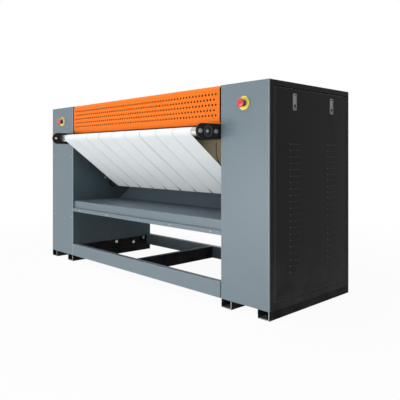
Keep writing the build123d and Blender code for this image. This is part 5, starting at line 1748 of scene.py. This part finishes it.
@dataclass
class Bearings:
    """Flanged bearing units: rings in the walls, and recessed hubs on the feed brackets."""

    wall: Profile = (
        (0.0, 10.1), (0.0, 14.0), (0.8, 15.0), (0.8, 23.0), (0.0, 24.0), (0.0, 26.0), (6.0, 26.0),
        (6.0, 32.0), (16.5, 32.0), (18.0, 30.5), (18.0, 16.0), (17.0, 15.0), (17.0, 10.1),
    )
    lower: Profile = (
        (-12.0, 10.1), (-12.0, 15.0), (-10.5, 16.5), (-10.5, 33.0), (-12.0, 34.5), (-12.0, 40.5),
        (-10.5, 42.0), (0.0, 42.0), (0.0, 26.0), (6.0, 26.0), (6.0, 10.1),
    )
    drum: Profile = (
        (0.0, 40.1), (0.0, 46.0), (0.8, 47.0), (0.8, 72.0), (0.0, 73.0), (0.0, 75.0), (6.0, 75.0),
        (6.0, 95.0), (28.0, 95.0), (30.0, 93.0), (30.0, 60.0), (28.0, 58.0), (28.0, 48.0),
        (30.0, 46.0), (30.0, 40.1),
    )
    hub: Profile = (
        (-12.0, 10.1), (-12.0, 26.0), (0.0, 26.0), (0.0, 38.0), (3.2, 38.0), (4.0, 37.2),
        (4.0, 31.4), (3.0, 29.4), (0.6, 25.2), (-8.0, 24.6), (-8.0, 22.6), (-6.5, 21.4),
        (-6.5, 14.0), (-7.5, 13.0), (-7.5, 11.6), (-6.0, 11.2), (-6.0, 10.1),
    )
    inner: float = 965 * MM
    bracket: float = 958 * MM
    forward: float = -400 * MM
    ring_radius: float = 22 * MM
    wall_rollers: tuple[str, ...] = (
        "transfer_roller", "entry_roller", "exit_roller", "rear_upper_roller", "rear_lower_roller"
    )

    def build(self) -> None:
        """Turn every unit at both ends of its roller."""
        form = Form()
        units = [(self.wall, roller, self.inner) for roller in self.wall_rollers]
        units.append((self.lower, "lower_feed_roller", self.inner))
        units.append((self.drum, "heated_cylinder", self.inner))
        units.append((self.hub, "front_feed_roller", self.bracket))
        for profile, roller, seat in units:
            for side in Side:
                centre = Vector((side.value * seat, *axis_point(roller)))
                form.lathe(metres(profile), centre, ALONG_X * side.value, closed=True)
        self._polish(form)
        form.show("bearing_units", BEARING, replaces=["bearings"])

    def _polish(self, form: Form) -> None:
        """Mark the rims and the bearing faces of the bracket hubs for a painted highlight.

        Args:
            form: All the bearing units.
        """
        axis = axis_point("front_feed_roller")
        for face in form.mesh.faces:
            place = face.calc_center_median()
            radius = math.hypot(place.y - axis.x, place.z - axis.y)
            rim = abs(place.x) > self.bracket + 2 * MM
            ring = abs(place.x) < self.bracket - 5 * MM and radius < self.ring_radius
            if place.y < self.forward and (rim or ring):
                face[form.edge] = 1.0


# ---------------------------------------------------------------- fasteners
@dataclass
class Fasteners:
    """Hexagon bolts on washers, and pan-headed cover screws."""

    head: Profile = ((2.5, 0.0), (2.5, 12.4), (3.2, 13.0), (9.6, 13.0), (10.5, 11.4), (10.5, 0.0))
    washer: Profile = ((0.0, 6.2), (0.0, 14.6), (0.5, 15.2), (2.0, 15.2), (2.5, 14.6), (2.5, 6.2))
    nut: Profile = ((0.0, 5.8), (0.0, 11.0), (7.2, 11.0), (8.0, 9.8), (8.0, 5.8))
    shank: float = 6 * MM
    pan: Profile = (
        (-8.0, 0.0), (-8.0, 2.4), (0.0, 2.4), (0.0, 6.0), (1.1, 5.8), (2.1, 4.6), (2.5, 2.6),
        (2.5, 1.6), (1.2, 0.9), (1.2, 0.0),
    )
    pan_height: float = 2.5 * MM
    head_reach: float = 8 * MM
    nut_height: float = 8 * MM
    thread_end: float = 3 * MM
    wall_outside: float = 971 * MM
    through_reach: float = 10.5 * MM
    cover_front: float = -340 * MM
    nose_front: float = -360 * MM

    def build(self) -> None:
        """Make the bolts and the screws."""
        bolts = Form()
        for low, high in solids("frame_bolts"):
            self._bolt(bolts, low, high)
        bolts.show("hexagon_bolts", ZINC, replaces=["frame_bolts"])
        screws = Form()
        for low, high in solids("cover_screws"):
            self._screw(screws, low, high)
        screws.show("pan_screws", ZINC, replaces=["cover_screws"])

    def _screw(self, form: Form, low: Vector, high: Vector) -> None:
        """Turn one screw, with its head at the front end on the front covers.

        Args:
            form: The form that takes it.
            low: Lowest corner of its solid.
            high: Highest corner.
        """
        centre = (low + high) / 2
        forward = centre.y < self.cover_front
        seat = low.y + self.pan_height if forward else high.y - self.pan_height
        facing = -ALONG_Y if forward else ALONG_Y
        form.lathe(metres(self.pan), Vector((centre.x, seat, centre.z)), facing, 14)

    def _bolt(self, form: Form, low: Vector, high: Vector) -> None:
        """Make one bolt between the ends of its solid, with a nut where it goes through.

        Args:
            form: The form that takes it.
            low: Lowest corner of its solid.
            high: Highest corner.
        """
        centre = (low + high) / 2
        outwards = ALONG_X if centre.x > 0 else -ALONG_X
        near, far = sorted((abs(low.x), abs(high.x)))
        on_nose = centre.y < self.nose_front
        seat = far - self.head_reach if on_nose else near + self.head_reach
        facing = outwards if on_nose else -outwards
        place = Vector((outwards.x * seat, centre.y, centre.z))
        form.lathe(metres(self.washer), place, facing, 32, True)
        form.lathe(metres(self.head), place, facing, 6)
        tip = seat - near if on_nose else far - seat
        thread = [(2 * MM, 0.0), (2 * MM, self.shank), (1 * MM - tip, self.shank)]
        form.lathe([*thread, (-tip, self.shank - MM), (-tip, 0.0)], place, facing, 20)
        if on_nose:
            nut = Vector((outwards.x * (near + self.thread_end), centre.y, centre.z))
            form.lathe(metres(self.nut), nut + outwards * self.nut_height, -outwards, 6, True)
        elif far > self.wall_outside + self.through_reach:
            nut = Vector((outwards.x * self.wall_outside, centre.y, centre.z))
            form.lathe(metres(self.nut), nut, outwards, 6, True)


# ---------------------------------------------------------------- cylinder and belt
@dataclass
class HotCylinder:
    """Polished cylinder with recessed end plates and hollow journals."""

    radius: float = 200 * MM
    shell: float = 6 * MM
    half: float = 930 * MM
    plate: tuple[float, float] = (910 * MM, 918 * MM)
    journal: tuple[float, float] = (30 * MM, 40 * MM)

    def build(self) -> None:
        """Turn the cylinder."""
        low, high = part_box("heated_cylinder")
        inside, outside = self.plate
        bore, journal = self.journal
        wall = self.radius - self.shell
        rim = self.radius - MM
        profile = [
            (low.x, bore), (low.x, journal - MM), (low.x + MM, journal), (-outside, journal),
            (-outside, wall), (-self.half, wall), (-self.half, rim),
            (MM - self.half, self.radius), (self.half - MM, self.radius), (self.half, rim),
            (self.half, wall), (outside, wall), (outside, journal), (high.x - MM, journal),
            (high.x, journal - MM), (high.x, bore), (inside, bore), (inside, wall),
            (-inside, wall), (-inside, bore),
        ]
        centre = Vector((0.0, *axis_point("heated_cylinder")))
        form = Form().lathe(profile, centre, ALONG_X, 96, True)
        form.show("polished_cylinder", CYLINDER, "cylinder", ["heated_cylinder"])


@dataclass
class IroningBelt:
    """Endless felt belt that holds the linen against the top and back of the cylinder."""

    half_width: float = 850 * MM
    thickness: float = 4 * MM
    clearance: float = 0.3 * MM
    cylinder_radius: float = 200 * MM
    roller_radius: float = 30 * MM
    hem: float = 12 * MM
    entry_angle: float = 158.0
    exit_angle: float = -95.0
    rollers: tuple[str, ...] = (
        "heated_cylinder", "entry_roller", "exit_roller", "rear_upper_roller", "rear_lower_roller"
    )

    def build(self) -> None:
        """Run the belt round the cylinder and its four rollers."""
        drum, entry, leaving, upper, lower = map(axis_point, self.rollers)
        wrap = self.cylinder_radius + self.clearance + self.thickness / 2
        turn = self.roller_radius + self.clearance + self.thickness / 2
        low_run, rear_run, top_run = (
            heading(start, end) % 360
            for start, end in ((leaving, lower), (lower, upper), (upper, entry))
        )
        angle = math.radians(self.entry_angle)
        start = drum + Vector((math.cos(angle), math.sin(angle))) * wrap
        legs = (
            Leg(0.0, 0, wrap, self.exit_angle - self.entry_angle, 72),
            Leg(0.0, 0, turn, low_run - self.exit_angle + 90, 16),
            Leg((lower - leaving).length, 6, turn, rear_run - low_run, 8),
            Leg((upper - lower).length, 12, turn, top_run - rear_run, 10),
            Leg((entry - upper).length, 10, turn, self.entry_angle + 270 - top_run, 18),
        )
        form = Form()
        belt = EndlessBelt(0.0, 2 * self.half_width, self.thickness, self.hem)
        flat = (belt.width, belt.carry(form, start, self.entry_angle - 90, legs))
        show_belt(form, "ironing_felt_belt", FELT, "ironing_belt", flat=flat,
                  rests_on=list(self.rollers))


# ---------------------------------------------------------------- carried-over nodes
@dataclass
class Carried:
    """Frame nodes whose shape is right: each gets the finish of its slot."""

    def build(self) -> None:
        """Dress every node that still shows."""
        for name, node in frame["nodes"].items():
            if node.hide_render:
                continue
            finish = finish_of(name)
            node.data.materials.clear()
            node.data.materials.append(finish.material())
            LOG.info("%s: carried over in %s", name, finish.name)


def main() -> None:
    """Build the studio and the machine, in order."""
    logging.basicConfig(level=logging.INFO, format="%(name)s %(message)s")
    for assembly in (
        Studio(), SensorLead(), Sheetwork(), SidePanels(), PaddleLatches(), EmergencyStops(),
        FrontHood(), FingerGuard(), Ribbons(), Rollers(), Bearings(), Fasteners(), HotCylinder(),
        IroningBelt(), Carried(),
    ):
        LOG.info("building %s", type(assembly).__name__)
        assembly.build()


if __name__ == "__main__":
    main()
